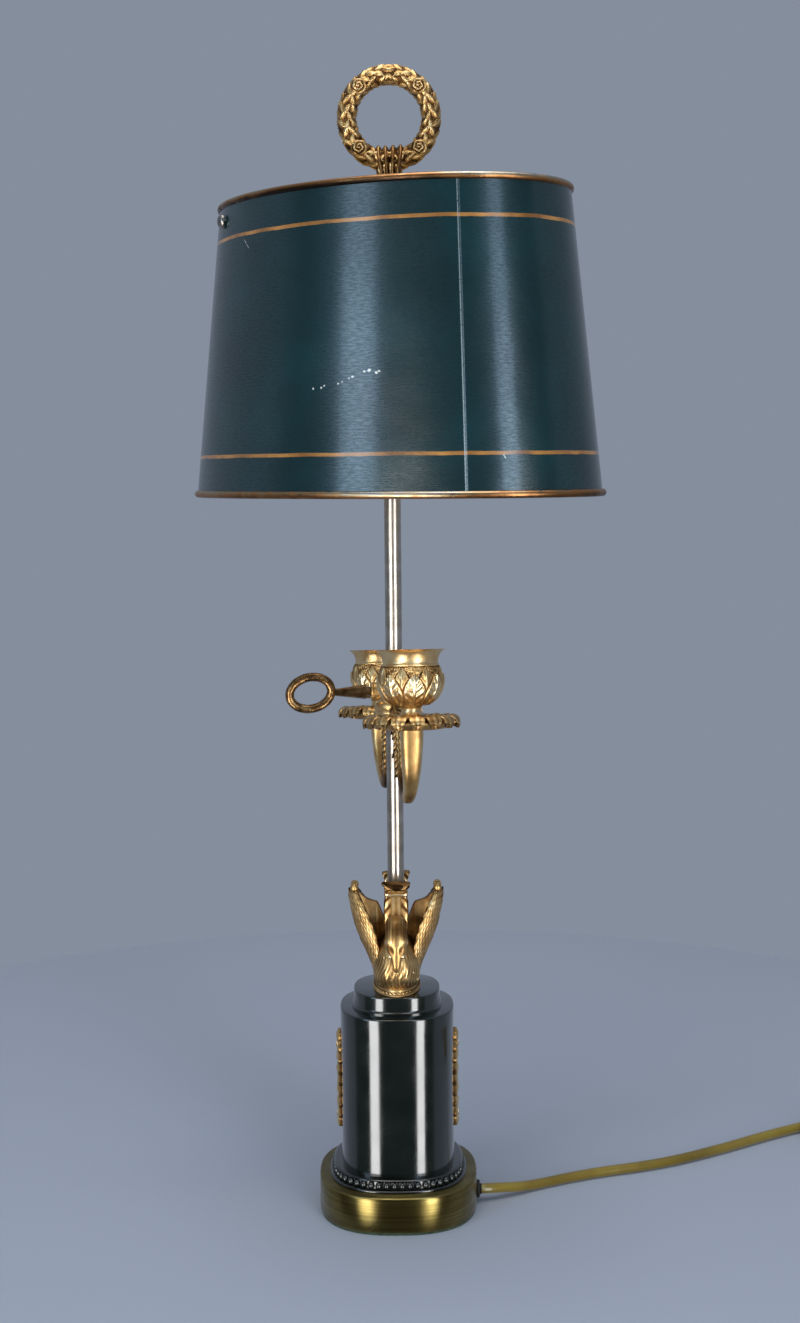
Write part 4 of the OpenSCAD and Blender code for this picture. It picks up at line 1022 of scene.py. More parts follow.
def acanthus():
    """The leaf behind the head: a ribbed band, the collar that ties it and its rolled tip."""
    rows = smooth(LEAF, 60)
    path = np.stack([0 * rows[:, 0], rows[:, 0], rows[:, 1]], 1)
    s = np.linspace(0, 1, 60)[:, None]
    t = circle(48)
    across = np.abs(np.sin(t))
    rings = sweep(path, 60 * [LEAF_T], rows[:, 2], (1, 0, 0), 48, 3.0)
    rings[..., 0] *= 0.96 + 0.10 * np.abs(np.sin(9 * np.pi * s))
    ribs = 0.6 * np.cos(2 * np.pi * (9 * s + 1.1 * across)) * (across > 0.32) * (s < 0.68)
    relief = ribs + 0.8 * crest(across, 0.13, 0.07) * (s < 0.72)
    blade = solid("acanthus", raised(rings, 0.8 * relief * (np.cos(t) < 0)), "gilt_brass",
                  depth=0.6 - 0.7 * relief, crease=60)
    collar = sweep([(0, -9.9, 51.2), (0, -10.1, 52.2), (0, -10.4, 53.2)], [1.5, 1.9, 1.5], [6.4, 6.9, 6.4],
                   (1, 0, 0), 24, 4)
    collar = solid("collar", collar, "gilt_brass", depth=0.1, crease=60)
    roll = smooth([(-7.6, -14, 60.2, 0.7), (-5, -15.2, 59, 1.6), (0, -15.8, 57.8, 2.2), (5, -15, 57.6, 1.7),
                   (7.6, -14, 58, 0.8)], 24)
    boat = sweep(roll[:, :3], roll[:, 3], 0.9 * roll[:, 3], (0, 1, 0), 20)
    # painted shade: one side of the rolled tip's section is drawn much darker than the other
    roll = solid("roll", boat, "gilt_brass", depth=0.55 - 0.5 * np.sin(circle(20)), crease=60)
    return [blade, collar, roll]


print("breast, neck and leaf ready")

# %% Swan castings
def swan(name, turn):
    """A whole swan casting, built as the front one and turned about the stem."""
    piece = join(name, [breast(), *neck(), *acanthus(), *feathered_wing(-1), *feathered_wing(1)])
    moved(piece, about("Z", turn) @ shift(0, 0, SWAN_Z))
    return place(piece, "base", "gilt_brass", name.replace("cast_", ""))


swan("cast_swan_front", 0)
swan("cast_swan_back", 180)
print("two swans")

# %% [markdown]
# ## Candle arms
# One casting carries both candle arms: a hub round the stem, with two flat straps that dip and rise to a
# drip pan and a cup. It leans by 6 degrees on its loose sleeve, front end up. Everything on it is made
# in the casting's own frame, with the key's axis at the origin, and then moved by one matrix.

# %% Arm frame
joints = {joint["name"]: joint for joint in frame["record"]["behaviour"]["joints"]}
KEY_Z = joints["key_turn"]["pos_m"][2] / MM
key_axis = joints["key_turn"]["axis"]
ARM_TURN = math.degrees(math.atan2(-key_axis[1], -key_axis[0]))
ARM_LEAN = 6
ARM_REACH = 77.0
ARMS = shift(0, 0, KEY_Z) @ about("Z", ARM_TURN) @ about("X", -ARM_LEAN)
PAN_LOW = -19.0
PAN_TOP = -11.0


def at_cup(turn):
    """The frame of a cup's axis: turn 0 is the front one and 180 the back one."""
    return ARMS @ about("Z", turn) @ shift(0, -ARM_REACH, 0)


print("arms turn", round(ARM_TURN, 2), "degrees")

# %% [markdown]
# The hub is turned with beads, and its straps are smooth lofts whose squarish section narrows at the
# bend. A leafy spray runs down the inner limbs below the hub: small leaves that a tree lays on both faces
# of the strap. The split sleeve in the hub rides on the stem and doesn't lean.

# %% Hub and boss
HUB_LOW, HUB_HIGH = -15.5, 8.0
SLEEVE_R = 5.5
lean = math.radians(ARM_LEAN)
HUB_BORE = SLEEVE_R / math.cos(lean) - HUB_LOW * math.tan(lean) + 0.3
HUB_R = HUB_BORE + 4
BOSS_END = HUB_R + 2

hub_rows = [(HUB_BORE, HUB_LOW), (HUB_R - 1.9, HUB_LOW), (HUB_R - 0.6, HUB_LOW + 0.8), (HUB_R, HUB_LOW + 2.4),
            (HUB_R, HUB_LOW + 4), (HUB_R - 0.6, HUB_LOW + 4.9), (HUB_R, HUB_LOW + 6), (HUB_R, HUB_LOW + 8),
            (HUB_R - 0.8, HUB_LOW + 8.8), (HUB_R - 1.5, HUB_LOW + 9.4), (HUB_R - 1.5, HUB_HIGH - 2),
            (HUB_R - 1.7, HUB_HIGH - 0.6), (HUB_R - 2.3, HUB_HIGH), (HUB_BORE, HUB_HIGH)]
hub = solid("hub", turned(hub_rows, 96), "gilt_brass", loop=True, depth=0.25, crease=45)
boss_rows = [(0.1, 8.6), (5.4, 8.6), (5.4, BOSS_END - 1.6), (5.0, BOSS_END - 1.3), (5.4, BOSS_END - 0.9),
             (5.4, BOSS_END - 0.3), (5.1, BOSS_END), (3.1, BOSS_END), (0.1, BOSS_END)]
boss = solid("boss", turned(boss_rows, 48), "gilt_brass", depth=0.4, crease=45)
parts = [hub, moved(boss, about("Y", -90))]
print("hub", round(2 * HUB_R, 1), "mm across")

# %% Straps and their leaves
# The strap's line, as reach and height from the hub and then from the cup's axis, and its half sizes
NEAR_HUB = ((9.5, -11), (15, -11), (20.5, -13.8), (24.8, -20.2), (27.4, -29), (31, -39), (37, -48.5))
NEAR_CUP = ((31, -55), (21, -56), (12, -51.5), (5.2, -43), (1.4, -33), (0, -25), (0, PAN_LOW))
STRAP_X = (4.4, 4, 3.8, 3.6, 3.5, 3.4, 3.3, 3.1, 3.2, 3.8, 4.7, 5.5, 6, 6.2)
STRAP_T = (3.4, 3.4, 3.3, 3.2, 3.2, 3.3, 3.4, 3.4, 3.4, 3.4, 3.5, 3.8, 4.4, 5)
STRAP_ROWS = 110
LEAF_SPOTS = range(6, 46, 3)

line = [(0, -out, z) for out, z in NEAR_HUB] + [(0, out - ARM_REACH, z) for out, z in NEAR_CUP]
strap = smooth([(*spot, x, t) for spot, x, t in zip(line, STRAP_X, STRAP_T)], STRAP_ROWS)
rings = sweep(strap[:, :3], strap[:, 4], strap[:, 3], (1, 0, 0), 40, 2.6)
share = np.linspace(0, 1, STRAP_ROWS)[:, None]
# painted shade: the strap is drawn darker round its lowest bend and towards two opposite faces of its section
limb_shade = 0.16 + 0.6 * crest(share, 0.52, 0.12) + 0.3 * np.abs(np.cos(circle(40))) ** 3
spray = []
for i in LEAF_SPOTS:
    spot, half_x, half_t = strap[i, :3], strap[i, 3], strap[i, 4]
    along = unit(strap[i + 1, :3] - strap[i - 1, :3])
    for k in (-1, 0, 1):
        turn_out, seat_out, size = (1, 0.95, 1.15) if k == 0 else (0.5, 0.7, 0.9)
        sideways = np.array([k, 0, 0])
        for face in (-1, 1):
            out = face * np.cross(along, (1, 0, 0))
            seat = spot + out * half_t * seat_out + sideways * half_x * 0.8
            spray.append((seat, unit(out * turn_out + sideways * 0.8), along + sideways * 0.7, size))
for turn in (0, 180):
    limb = solid("limb", rings, "gilt_brass", depth=limb_shade, crease=60)
    sprig = leaf("sprig", "gilt_brass", 5.2, 1.7, 0.9, curl=0.9, ribs=0.5, rows=6, sides=10)
    leaves = grow("spray", laid_tree, "gilt_brass", sprig, spray, Jitter=0.12, Seed=11 + turn)
    parts += [moved(limb, about("Z", turn)), moved(leaves, about("Z", turn))]
drop = leaf("drop", "gilt_brass", 9.0, 1.6, 1.3, curl=0.4, ribs=0.5, rows=8, sides=12)
hosts = [((0.6 * k, -(7.9 + 0.5 * k), HUB_LOW - 0.5 - 4.4 * k), (0, -1, 0.2), (0.12 * (-1) ** k, 0.05, -1),
          1.1 - 0.12 * k) for k in range(3)]
parts.append(grow("pendant", laid_tree, "gilt_brass", drop, hosts, Jitter=0.06, Seed=5))
place(moved(join("arm_straps", parts), ARMS), "arms", "gilt_brass", "arm_casting")
print("straps with", 2 * len(spray), "leaves")

# %% Sleeve
sleeve_rows = [(4.8, -18.8), (9.2, -18.8), (9.4, -18.5), (9.4, -17.6), (9.1, -17.3), (SLEEVE_R, -17.3),
               (SLEEVE_R, 13), (4.8, 13)]
sleeve = turned([(r, KEY_Z + z) for r, z in sleeve_rows], 64)
sleeve = solid("sleeve", sleeve, "turned_brass", loop=True, crease=45)
place(sleeve, "arm_slider", "turned_brass", "arm_sleeve")
print("sleeve round the stem")

# %% [markdown]
# ## Drip pans
# A pan is a thin turned dish with sixteen leaf tips that curl over its edge. One tip is lofted with its
# midrib and veins, and the ring tree sets it round the rim.

# %% Drip pans
PAN_R = 25.0
TIPS = 16
TIP_ROWS = 15


def leaf_tip():
    """A curled leaf tip that points along +X: up from the dish, over, and down in front."""
    path = smooth([(-5.2, 0, 0.2), (-3.4, 0, 2.0), (-1.2, 0, 3.6), (1.2, 0, 3.7), (2.8, 0, 2.2),
                   (3.1, 0, 0.3), (2.5, 0, -1.4)], TIP_ROWS)
    share = np.linspace(0, 1, TIP_ROWS)
    wide = 4.7 * np.sin(np.pi * (0.25 + 0.62 * share)) ** 0.8
    rings = sweep(path, wide, np.ones(TIP_ROWS), (0, 0, 1), 24, 2.4)
    share = share[:, None]
    veins = 0.42 * np.cos(5 * np.pi * np.cos(circle(24))) * (0.4 + 0.6 * share)
    # painted shade: the end that curls down under the pan's edge is drawn darker
    depth = 0.42 - veins * 0.9 + 0.25 * (share > 0.9)
    return solid("tip", raised(rings, veins), "gilt_brass", depth=depth, crease=70)


dish_rows = [(0.1, PAN_LOW), (8, PAN_LOW), (14, PAN_LOW + 0.3), (19, PAN_LOW + 1),
             (PAN_R - 3.2, PAN_LOW + 2.6), (PAN_R - 2.6, PAN_LOW + 4.2), (PAN_R - 3.4, PAN_LOW + 5),
             (16, PAN_LOW + 3.9), (11, PAN_LOW + 4.2), (8.6, PAN_LOW + 5.6), (8, PAN_TOP - 0.5),
             (7.4, PAN_TOP), (0.1, PAN_TOP)]
rim = (PAN_R - 3.2) * MM
for name, turn in (("front", 0), ("back", 180)):
    dish = solid("dish", turned(dish_rows, 96), "gilt_brass", depth=0.5, crease=50)
    tips = grow("tips", ring_tree, "gilt_brass", leaf_tip(), Count=TIPS, Half_Width=rim, Half_Depth=rim,
                Height=(PAN_LOW + 3.2) * MM, Jitter=0.03, Seed=turn + 2)
    pan = moved(join("drip_pan_" + name, [dish, tips]), at_cup(turn))
    place(pan, "arms", "gilt_brass", "pan_" + name)
print(2 * TIPS, "leaf tips")

# %% [markdown]
# ## Candle cups
# Each cup is one turned form with chased relief, so it is one fine grid of rings. A height formula gives
# the relief: eight pointed leaves with a midrib and veins, eight smaller ones in the gaps, and a pitted
# ground above them under a plain flared lip.

# %% Candle cups
CUP_R = 18.8
CUP_WALL = 1.6
CUP_FLOOR = 11.0
CUP_ROWS = 150
CUP_COLUMNS = 384
LEAVES = 8
CUP_OUT = ((6.4, 0), (5.4, 1.4), (5.2, 3.2), (5.8, 4.6), (7.4, 5.6), (9.8, 7), (13.4, 9.6), (15.8, 13.4),
           (16.7, 17.4), (16.4, 21.6), (15.6, 24.6), (14.9, 26.6), (14.7, 28.4), (15.1, 30.4), (16.2, 32.6),
           (17.6, 34), (CUP_R, 34.6))
LEAF_FOOT, LEAF_TOP, BAND = 6.5, 21.5, 26.0


def pointed_leaf(turn, rise, half_turn):
    """One leaf on a cup, at turns from its middle in degrees and a rise from 0 to 1: relief, mask, groove."""
    reach = half_turn * np.clip(1 - np.clip(rise, 0, 1) ** 2.2, 0, 1) ** 0.75
    across = np.abs(turn) / np.maximum(reach, 0.1)
    upright = (rise > -0.2) & (rise < 1)
    inside = (across < 1) & upright
    body = 0.55 + 0.45 * np.sqrt(np.clip(1 - across**2, 0, 1))
    lines = 0.5 * crest(across, 0, 0.13) + 0.3 * crest(across, 0.88, 0.1)
    veins = 0.22 * np.cos(2 * np.pi * (4.5 * rise - 1.2 * across)) * (across > 0.15) * (across < 0.8)
    return inside * (body + lines + veins), inside, crest(across, 1.03, 0.09) * upright


def candle_cup(name, turn):
    """A candle cup, chased outside and smooth inside, moved to its place on an arm."""
    rows = smooth(CUP_OUT, CUP_ROWS)
    t = np.linspace(0, 360, CUP_COLUMNS, endpoint=False) + np.zeros((CUP_ROWS, 1))
    h = rows[:, 1:2] + 0 * t
    rise = (h - LEAF_FOOT) / (LEAF_TOP - LEAF_FOOT)
    step = 360 / LEAVES
    main, on_main, main_groove = pointed_leaf((t + step / 2) % step - step / 2, rise, step * 0.53)
    second, on_second, second_groove = pointed_leaf(t % step - step / 2, rise / 1.25, step * 0.46)
    chased_part = h < BAND
    ground = (h > LEAF_FOOT) & chased_part & ~on_main & ~on_second
    ripple = np.sin(np.radians(t) * 40 + 3 * np.sin(h * 2.4))
    pits = 0.35 * (ripple * np.sin(h * 3.9 + 2 * np.sin(np.radians(t) * 24)))
    relief = np.where(on_main, main, np.where(on_second, 0.62 * second, ground * (0.25 + pits)))
    bead = 0.35 * crest(h, BAND + 0.5, 0.45) - 0.3 * crest(h, BAND - 0.4, 0.35)
    fade = np.clip((h - LEAF_FOOT + 1.5) / 1.5, 0, 1) * chased_part
    groove = np.maximum(main_groove, second_groove * ~on_main)
    outer = raised(turned(rows, CUP_COLUMNS), (relief - 0.5 * groove) * fade + bead)
    dark = np.where(on_main | on_second, 0.62 - 0.5 * relief, 0.5 - 0.9 * pits)
    dark = np.clip(dark + 0.75 * groove - 1.2 * bead * chased_part, 0, 1)
    dark = np.where(chased_part, dark * np.clip(fade, 0.3, 1), 0.22)
    bore = [(CUP_R - 0.5, 34.7), (16.6, 34), *[(r - CUP_WALL, z) for r, z in CUP_OUT[-4:6:-1]],
            (11.5, CUP_FLOOR + 0.4), (10, CUP_FLOOR), (0.1, CUP_FLOOR)]
    rings = np.concatenate([turned([(0.1, 0)], CUP_COLUMNS), outer, turned(bore, CUP_COLUMNS)])
    plain = np.zeros((1, CUP_COLUMNS))
    depth = np.concatenate([plain + 0.5, dark, *len(bore) * [plain + 0.55]])
    cup = solid("candle_cup_" + name, rings, "gilt_brass", depth=depth, crease=70)
    moved(cup, at_cup(turn) @ shift(0, 0, PAN_TOP))
    return place(cup, "arms", "gilt_brass", "cup_" + name)


candle_cup("front", 0)
cup = candle_cup("back", 180)
print(len(cup.data.polygons), "faces in a cup")

# %% [markdown]
# ## Clamping key
# The key turns in the boss and its tip grips the sleeve. Its bow is a hammered oval ring, turned 12
# degrees, and its shank tapers in eight flats from a narrow collar.

# %% Clamping key
KEY_RING = (29.0, 23.0, 5.0)
BOW_TURN = 12
SHANK_END = 34.0
FLATS = 8
shank_rows = [(3.0, 6.0), (3.0, BOSS_END + 0.3), (2.6, BOSS_END + 0.35), (2.6, BOSS_END + 2.5),
              (4.2, BOSS_END + 2.8), (4.2, BOSS_END + 3.4), (2.0, SHANK_END), (1.9, SHANK_END + 1.6)]
t = np.radians(360 / FLATS * (1 + np.arange(FLATS)))
rings = [np.stack([x + 0 * t, r * np.cos(t), r * np.sin(t)], 1) for r, x in shank_rows]
shank = solid("shank", rings, "key_bronze", crease=20)
long, tall, bar = KEY_RING
t = circle(96)
path = np.stack([(long - bar) / 2 * np.cos(t), 0 * t, (tall - bar) / 2 * np.sin(t)], 1)
out = np.cross((0, 1, 0), unit(np.roll(path, -1, 0) - np.roll(path, 1, 0)))
s, t = circle(20), t[:, None]
dents = 0.12 * np.sin(17 * t + 2 * np.sin(s)) * np.cos(3 * s + 5 * np.sin(7 * t))
section = np.cos(s)[:, None] * out[:, None] + np.sin(s)[:, None] * (0, 1, 0)
bow = solid("bow", path[:, None] + (bar / 2 + dents)[..., None] * section, "key_bronze", loop=True, crease=60)
moved(bow, shift(SHANK_END + long / 2 - 0.6, 0, 0) @ about("Y", BOW_TURN))
key = moved(join("ring_key", [shank, bow]), shift(0, 0, KEY_Z) @ about("Z", ARM_TURN + 180))
place(key, "key", "antique_brass", "clamp_key")
print("key", round(SHANK_END + long - BOSS_END, 1), "mm out of the boss")

# %% [markdown]
# ## Lampholders and bulbs
# A cluster on the stem's top carries two lampholders under the shade. They are plain turned brass, so
# each is a profile spun round its axis, with small beads that a lathe leaves. Opal candle bulbs stand in
# them, and each holder has a bakelite turn switch on its side.

# %% Lampholders
HOLDER_X = 38.0
HOLDER_Z = 454.0
CLUSTER_Z = 434.0
hub_rows = [(STEM_R + 0.3, 0), (7, 0), (7.5, 0.5), (9, 2), (9, 3.4), (8.6, 3.8), (9, 4.2), (9, 8), (12, 12),
            (13, 16), (12, 20), (9, 23), (7.2, 24), (7, 28), (3.3, 28), (3.3, 18), (STEM_R + 0.3, 12)]
rod_rows = [(0.1, 7), (3.2, 7), (3.2, 14), (3.7, 14.4), (3.7, 15.6), (3.2, 16), (3.2, 32), (0.1, 32)]
post_rows = [(0.1, -8), (5.6, -8), (6.6, -7.4), (7, -6.4), (7, -1.6), (6.6, -1), (7, -0.4), (7, 0), (0.1, 0)]
parts = [solid("hub", turned([(r, CLUSTER_Z + z) for r, z in hub_rows], 64), "turned_brass", loop=True)]
for turn in (0, 180):
    rod = solid("rod", turned(rod_rows, 32), "turned_brass")
    parts.append(moved(rod, about("Z", turn) @ shift(0, 0, HOLDER_Z - 4) @ about("Y", 90)))
    post = solid("post", turned(post_rows, 48), "turned_brass")
    parts.append(moved(post, about("Z", turn) @ shift(HOLDER_X, 0, HOLDER_Z)))
place(join("arm_cluster", parts), "base", "turned_brass", "cluster")
print("cluster at", CLUSTER_Z, "mm")

# %% Bulbs and switches
holder_rows = [(0.1, 0), (8.4, 0), (9, 0.4), (11, 2), (12.2, 4), (12.5, 5), (12.5, 9), (12.1, 9.4),
               (12.5, 9.8), (12.5, 17), (12.1, 18.4), (11.6, 19), (11.6, 21), (11.3, 21.3), (11.6, 21.6),
               (11.6, 34), (11.4, 35.4), (10.8, 36), (7.3, 36), (7.3, 10), (0.1, 10)]
glass_rows = smooth([(7.0, 37), (7.6, 38), (8.8, 40.4), (12, 46), (15.4, 54), (17.2, 62.5), (17.2, 70.5),
                     (15, 80), (11.4, 89), (7.2, 97), (3.6, 102.8), (1.6, 105.2), (0.1, 105.9)], 60)
bulb_rows = [(0.1, 37), *glass_rows]
shaft_rows = [(0.1, 6.4), (1.5, 6.4), (1.5, 16), (3, 16), (3, 20.4), (2.6, 21), (0.1, 21)]
LEVER = ((3.4, 0.9, 20), (4.4, 1, 21.2), (5, 1, 23.5), (5, 1, 26.6), (4.4, 0.9, 28.2), (3, 0.55, 29))
globes = []
for side, x, turn in (("left", -HOLDER_X, 180), ("right", HOLDER_X, 0)):
    stand = shift(x, 0, HOLDER_Z)
    holder = moved(solid("lampholder_" + side, turned(holder_rows, 64), "turned_brass", crease=35), stand)
    place(holder, "base", "turned_brass", "holder_" + side)
    globes.append(moved(solid("bulb", turned(bulb_rows, 48), "opal_glass", crease=60), stand))
    shaft = solid("shaft", turned(shaft_rows, 32), "black_plastic")
    lever = [outline(half, 1.6 * share, z, 3.2, 40) for half, share, z in LEVER]
    lever = solid("wing", lever, "black_plastic", crease=50)
    knob = join("turn_knob_" + side, [shaft, lever])
    moved(knob, shift(x, 0, HOLDER_Z + 6) @ about("Z", turn) @ about("X", 90))
    place(knob, "knob_" + side, "black_plastic", "holder_knob_" + side)
place(join("bulbs", globes), "base", "opal_glass", "bulb_globes")
print("two lampholders, at", HOLDER_X, "mm from the stem")

# %% [markdown]
# The shade hangs from a threaded rod: its cross bar lies on a knurled nut, and the finial screws down on
# top. The thread is drawn as rings, because its helix is too fine to see.

# %% Shade rod and nut
THREAD = 0.8
THREAD_Z = 556
KNURLS = 40
rod_low, rod_high = span("shade_rod")
z0, z1 = rod_low[2], rod_high[2]
threaded = [(2.75 if k % 2 else 3.0, z) for k, z in enumerate(np.arange(THREAD_Z, z1 - 0.6, THREAD / 2))]
rows = [(0.1, z0), (3, z0), (3, THREAD_Z - 0.6), *threaded, (2.6, z1), (0.1, z1)]
rod = solid("threaded_rod", turned(rows, 40), "turned_brass", crease=60)
place(rod, "base", "turned_brass", "shade_rod")
nut_low, nut_high = span("shade_rest_nut")
r, z0, z1 = nut_high[0], nut_low[2], nut_high[2]
rows = [(3.2, z0), (r - 1, z0), (r - 0.3, z0 + 0.4), (r - 0.15, z0 + 0.9), (r - 0.15, z1 - 0.9),
        (r - 0.3, z1 - 0.4), (r - 1, z1), (3.2, z1)]
rings = np.array(turned(rows, 240))
rings[3:5, :, :2] *= (1 - 0.02 * (1 + np.cos(KNURLS * circle(240))))[None, :, None]
nut = solid("rest_nut", rings, "turned_brass", loop=True, crease=45)
place(nut, "base", "turned_brass", "shade_rest_nut")
print("rod with", len(threaded) // 2, "turns of thread")

# %% [markdown]
# ## Shade
# The shade is one sheet rolled to an oval cone and soldered along a lapped seam. Its rings run round
# outside and back inside, so it is closed and has a real wall. The columns of the mesh follow the seam's
# slight slant, which keeps the lap's edge straight. The map holds the place round the oval and up it.

# %% Shade sheet
SHADE_TURN = math.radians(-35)
SHADE_TOP = (108.0, 70.0)
SHADE_LOW = (127.0, 82.5)
SHEET = 1.0
SHEET_INSET = 0.25
SHEET_EDGE = 3.9
RIM_R = 2.0
RIM_INSET = 0.5
LAP = 0.55
LAP_RUN = 22
COLUMNS = 720
SEAM_COLUMN = 275


def oval(share, turn, inset):
    """Points on the shade's oval at a share of its height and turns in degrees, without the height."""
    a, b = [low + (top - low) * share - inset for low, top in zip(SHADE_LOW, SHADE_TOP)]
    t = np.radians(turn)
    x, y = a * np.cos(t), b * np.sin(t)
    return np.stack([x * math.cos(SHADE_TURN) - y * math.sin(SHADE_TURN),
                     x * math.sin(SHADE_TURN) + y * math.cos(SHADE_TURN)], -1)


def sheet_turn(share):
    """Turns of the mesh's columns at a share of the height, with the seam at its own column."""
    seam = SEAM_FOOT + (SEAM_HEAD - SEAM_FOOT) * share
    return seam + (np.arange(COLUMNS) - SEAM_COLUMN) * 360 / COLUMNS


def sheet_uv(row, column):
    """The place on the sheet, from 0 to 1 round the oval and up it."""
    share = rows[row % len(rows)][0]
    return sheet_turn(share)[column % COLUMNS] / 360 + (column == COLUMNS), share


rows = [(share, 0.0) for share in np.linspace(SHEET_EDGE, SHADE_H - SHEET_EDGE, 13) / SHADE_H]
rows += [(share, SHEET) for share in np.linspace(SHADE_H - SHEET_EDGE, SHEET_EDGE, 5) / SHADE_H]
past_seam = np.arange(COLUMNS) - SEAM_COLUMN
lap = LAP * np.where(past_seam <= 0, np.exp(past_seam / LAP_RUN), 0)
rings = []
for share, inset in rows:
    flat = oval(share, sheet_turn(share), inset - (lap if inset == 0 else 0) + SHEET_INSET)
    rings.append(np.concatenate([flat, np.full((COLUMNS, 1), SHADE_Z + SHADE_H * share)], 1))
shell = solid("tin_shade", rings, "painted_tin", loop=True, crease=50, uv=sheet_uv)
shell.data.materials.append(FINISH["cream_enamel"])
for face in shell.data.polygons:
    outwards = Vector((face.center.x, face.center.y, 0)).normalized()
    face.material_index = 1 if face.normal.dot(outwards) < 0.2 else 0
place(shell, "shade", "painted_tin", "shade_shell")
print("sheet of", len(shell.data.polygons), "faces")

# %% [markdown]
# The rims are rolled wire, so each is a small round section swept round the oval. Their drift of colour
# is a run of depth round the oval, given at a few turns and read between them. The lower half of the
# section is drawn darker.

# %% Shade rims
RIM_DRIFT = {
    "top": ((-180, 0.3), (-140, 0.24), (-112, 0.3), (-104, 0.5), (-65, 0.48), (-53, 0.42), (-46, 0.1),
            (7, 0.1), (60, 0.25), (120, 0.5), (180, 0.3)),
    "bottom": ((-180, 0.6), (-145, 0.3), (-126, 0.3), (-112, 0.4), (-86, 0.4), (-74, 0.12), (-54, 0.1),
               (-41, 0.42), (0, 0.5), (60, 0.7), (120, 0.5), (180, 0.6))}
RIM_UNDERSIDE_DARK = {"top": 0.6, "bottom": 0.3}
turns = np.arange(COLUMNS) * 360 / COLUMNS - 180
section = circle(20)
for name, share, height in (("top", 1.0, SHADE_Z + SHADE_H - RIM_R), ("bottom", 0.0, SHADE_Z + RIM_R)):
    rings = []
    for angle in section:
        flat = oval(share, turns, RIM_INSET - RIM_R * math.cos(angle))
        rings.append(np.concatenate([flat, np.full((COLUMNS, 1), height + RIM_R * math.sin(angle))], 1))
    drift = np.interp(turns, *zip(*RIM_DRIFT[name]))
    # the lower half of each rim's section is drawn darker
    underside_dark = RIM_UNDERSIDE_DARK[name] * np.clip(0.5 - np.sin(section), 0, 1)
    wire = solid("rolled_rim_" + name, rings, "copper_rim", loop=True, depth=drift + underside_dark[:, None],
                 crease=80)
    place(wire, "shade", "copper_rim", "shade_%s_rim" % name)
print("two rims")

# %% Shade screws
SCREW_TURN = -3
screw_low, screw_high = span("shade_screws")
SCREW_Z = (screw_low[2] + screw_high[2]) / 2
share = (SCREW_Z - SHADE_Z) / SHADE_H
long, wide = [low + (top - low) * share for low, top in zip(SHADE_LOW, SHADE_TOP)]
slant = math.radians(SCREW_TURN) - SHADE_TURN
reach = long * wide / math.hypot(wide * math.cos(slant), long * math.sin(slant))
skew = math.degrees(math.atan2(math.sin(slant) * long**2, math.cos(slant) * wide**2) - slant)
head = [(0.1, -6), (1.5, -6), (1.5, 0.7), (3.6, 0.7), (4, 1), (3.9, 1.5), (3.5, 2.2), (2.8, 2.9), (1.9, 3.3),
        (0.9, 3.5), (0.1, 3.5)]
screws = []
for turn in (SCREW_TURN, SCREW_TURN + 180):
    screw = solid("screw", turned(head, 40), "zinc_steel", crease=60)
    at_wall = about("Z", turn) @ shift(reach, 0, SCREW_Z)
    screws.append(moved(screw, at_wall @ about("Z", skew) @ about("Y", 90)))
place(join("dome_screws", screws), "shade", "zinc_steel", "shade_screws")
print("screws at", round(SCREW_Z, 1), "mm, square to the wall")

# %% [markdown]
# ## Wreath finial
# The wreath is a cast ring of overlapping leaves with four roses on each face, tied by ribbons whose
# folds run down its foot. The leaves are chased into the ring's own surface: a height formula draws them
# in staggered rows that climb from the foot to the top on both sides, so the outline stays smooth. A rose
# is a small dome with a spiral cut in it.

# %% Chased leaves
LEAF_STEP = 4.4
LEAF_ROWS = 8
LEAF_HALF, LEAF_WIDE = 3.3, 1.9
SCATTER = (12.9, 78.2, 437.5)


def chased(climb, around):
    """Height of a field of overlapping pointed leaves: mm climbed from the foot, and rows round the tube."""
    high = np.zeros(np.broadcast(climb, around).shape)
    for step in (-1, 0, 1):
        column = np.floor(climb / LEAF_STEP) + step
        rows = around - 0.5 * (column % 2)
        for beside in (-1, 0, 1):
            row = np.floor(rows) + beside
            chance = np.sin(column * SCATTER[0] + (row % LEAF_ROWS) * SCATTER[1]) * SCATTER[2] % 1
            lean = np.where((column + row) % 2 > 0.5, 1, -1) * (0.45 + 0.5 * chance)
            x, y = climb - (column + 0.3 + 0.4 * chance) * LEAF_STEP, (rows - row - 0.5) * LEAF_STEP
            along, across = x * np.cos(lean) + y * np.sin(lean), y * np.cos(lean) - x * np.sin(lean)
            share = np.clip(along / LEAF_HALF / 2 + 0.5, 0, 1)
            across = np.abs(across) / np.maximum(LEAF_WIDE * np.sin(np.pi * share**0.8) ** 0.8, 0.05)
            blade = (0.4 + 0.5 * share) * np.sqrt(np.clip(1 - across**2, 0, 1))
            high = np.maximum(high, (blade + 0.25 * crest(across, 0, 0.2)) * (across < 1))
    return high


print(LEAF_ROWS, "rows of leaves round the tube")

# %% Wreath
WREATH_D, WREATH_HOLE = 58.0, 35.0
TUBE_R = (WREATH_D - WREATH_HOLE) / 4
CORE_R = TUBE_R - 1.0
RING_R = WREATH_D / 2 - TUBE_R
WREATH_Z = 623.3
RING_LOW = WREATH_Z - WREATH_D / 2
ROSE_R = 4.5

turn = circle(600)[:, None]
around = circle(84)[None, :]
r = RING_R + CORE_R * np.cos(around)
tube = np.stack([r * np.cos(turn), CORE_R * np.sin(around) + 0 * turn, WREATH_Z + r * np.sin(turn)], 2)
climb = np.abs((turn + 1.5 * np.pi) % (2 * np.pi) - np.pi) * RING_R
relief = chased(climb, around * LEAF_ROWS / (2 * np.pi))
parts = [solid("ring", raised(tube, relief), "gilt_brass", loop=True, depth=0.85 - 0.75 * relief, crease=70)]

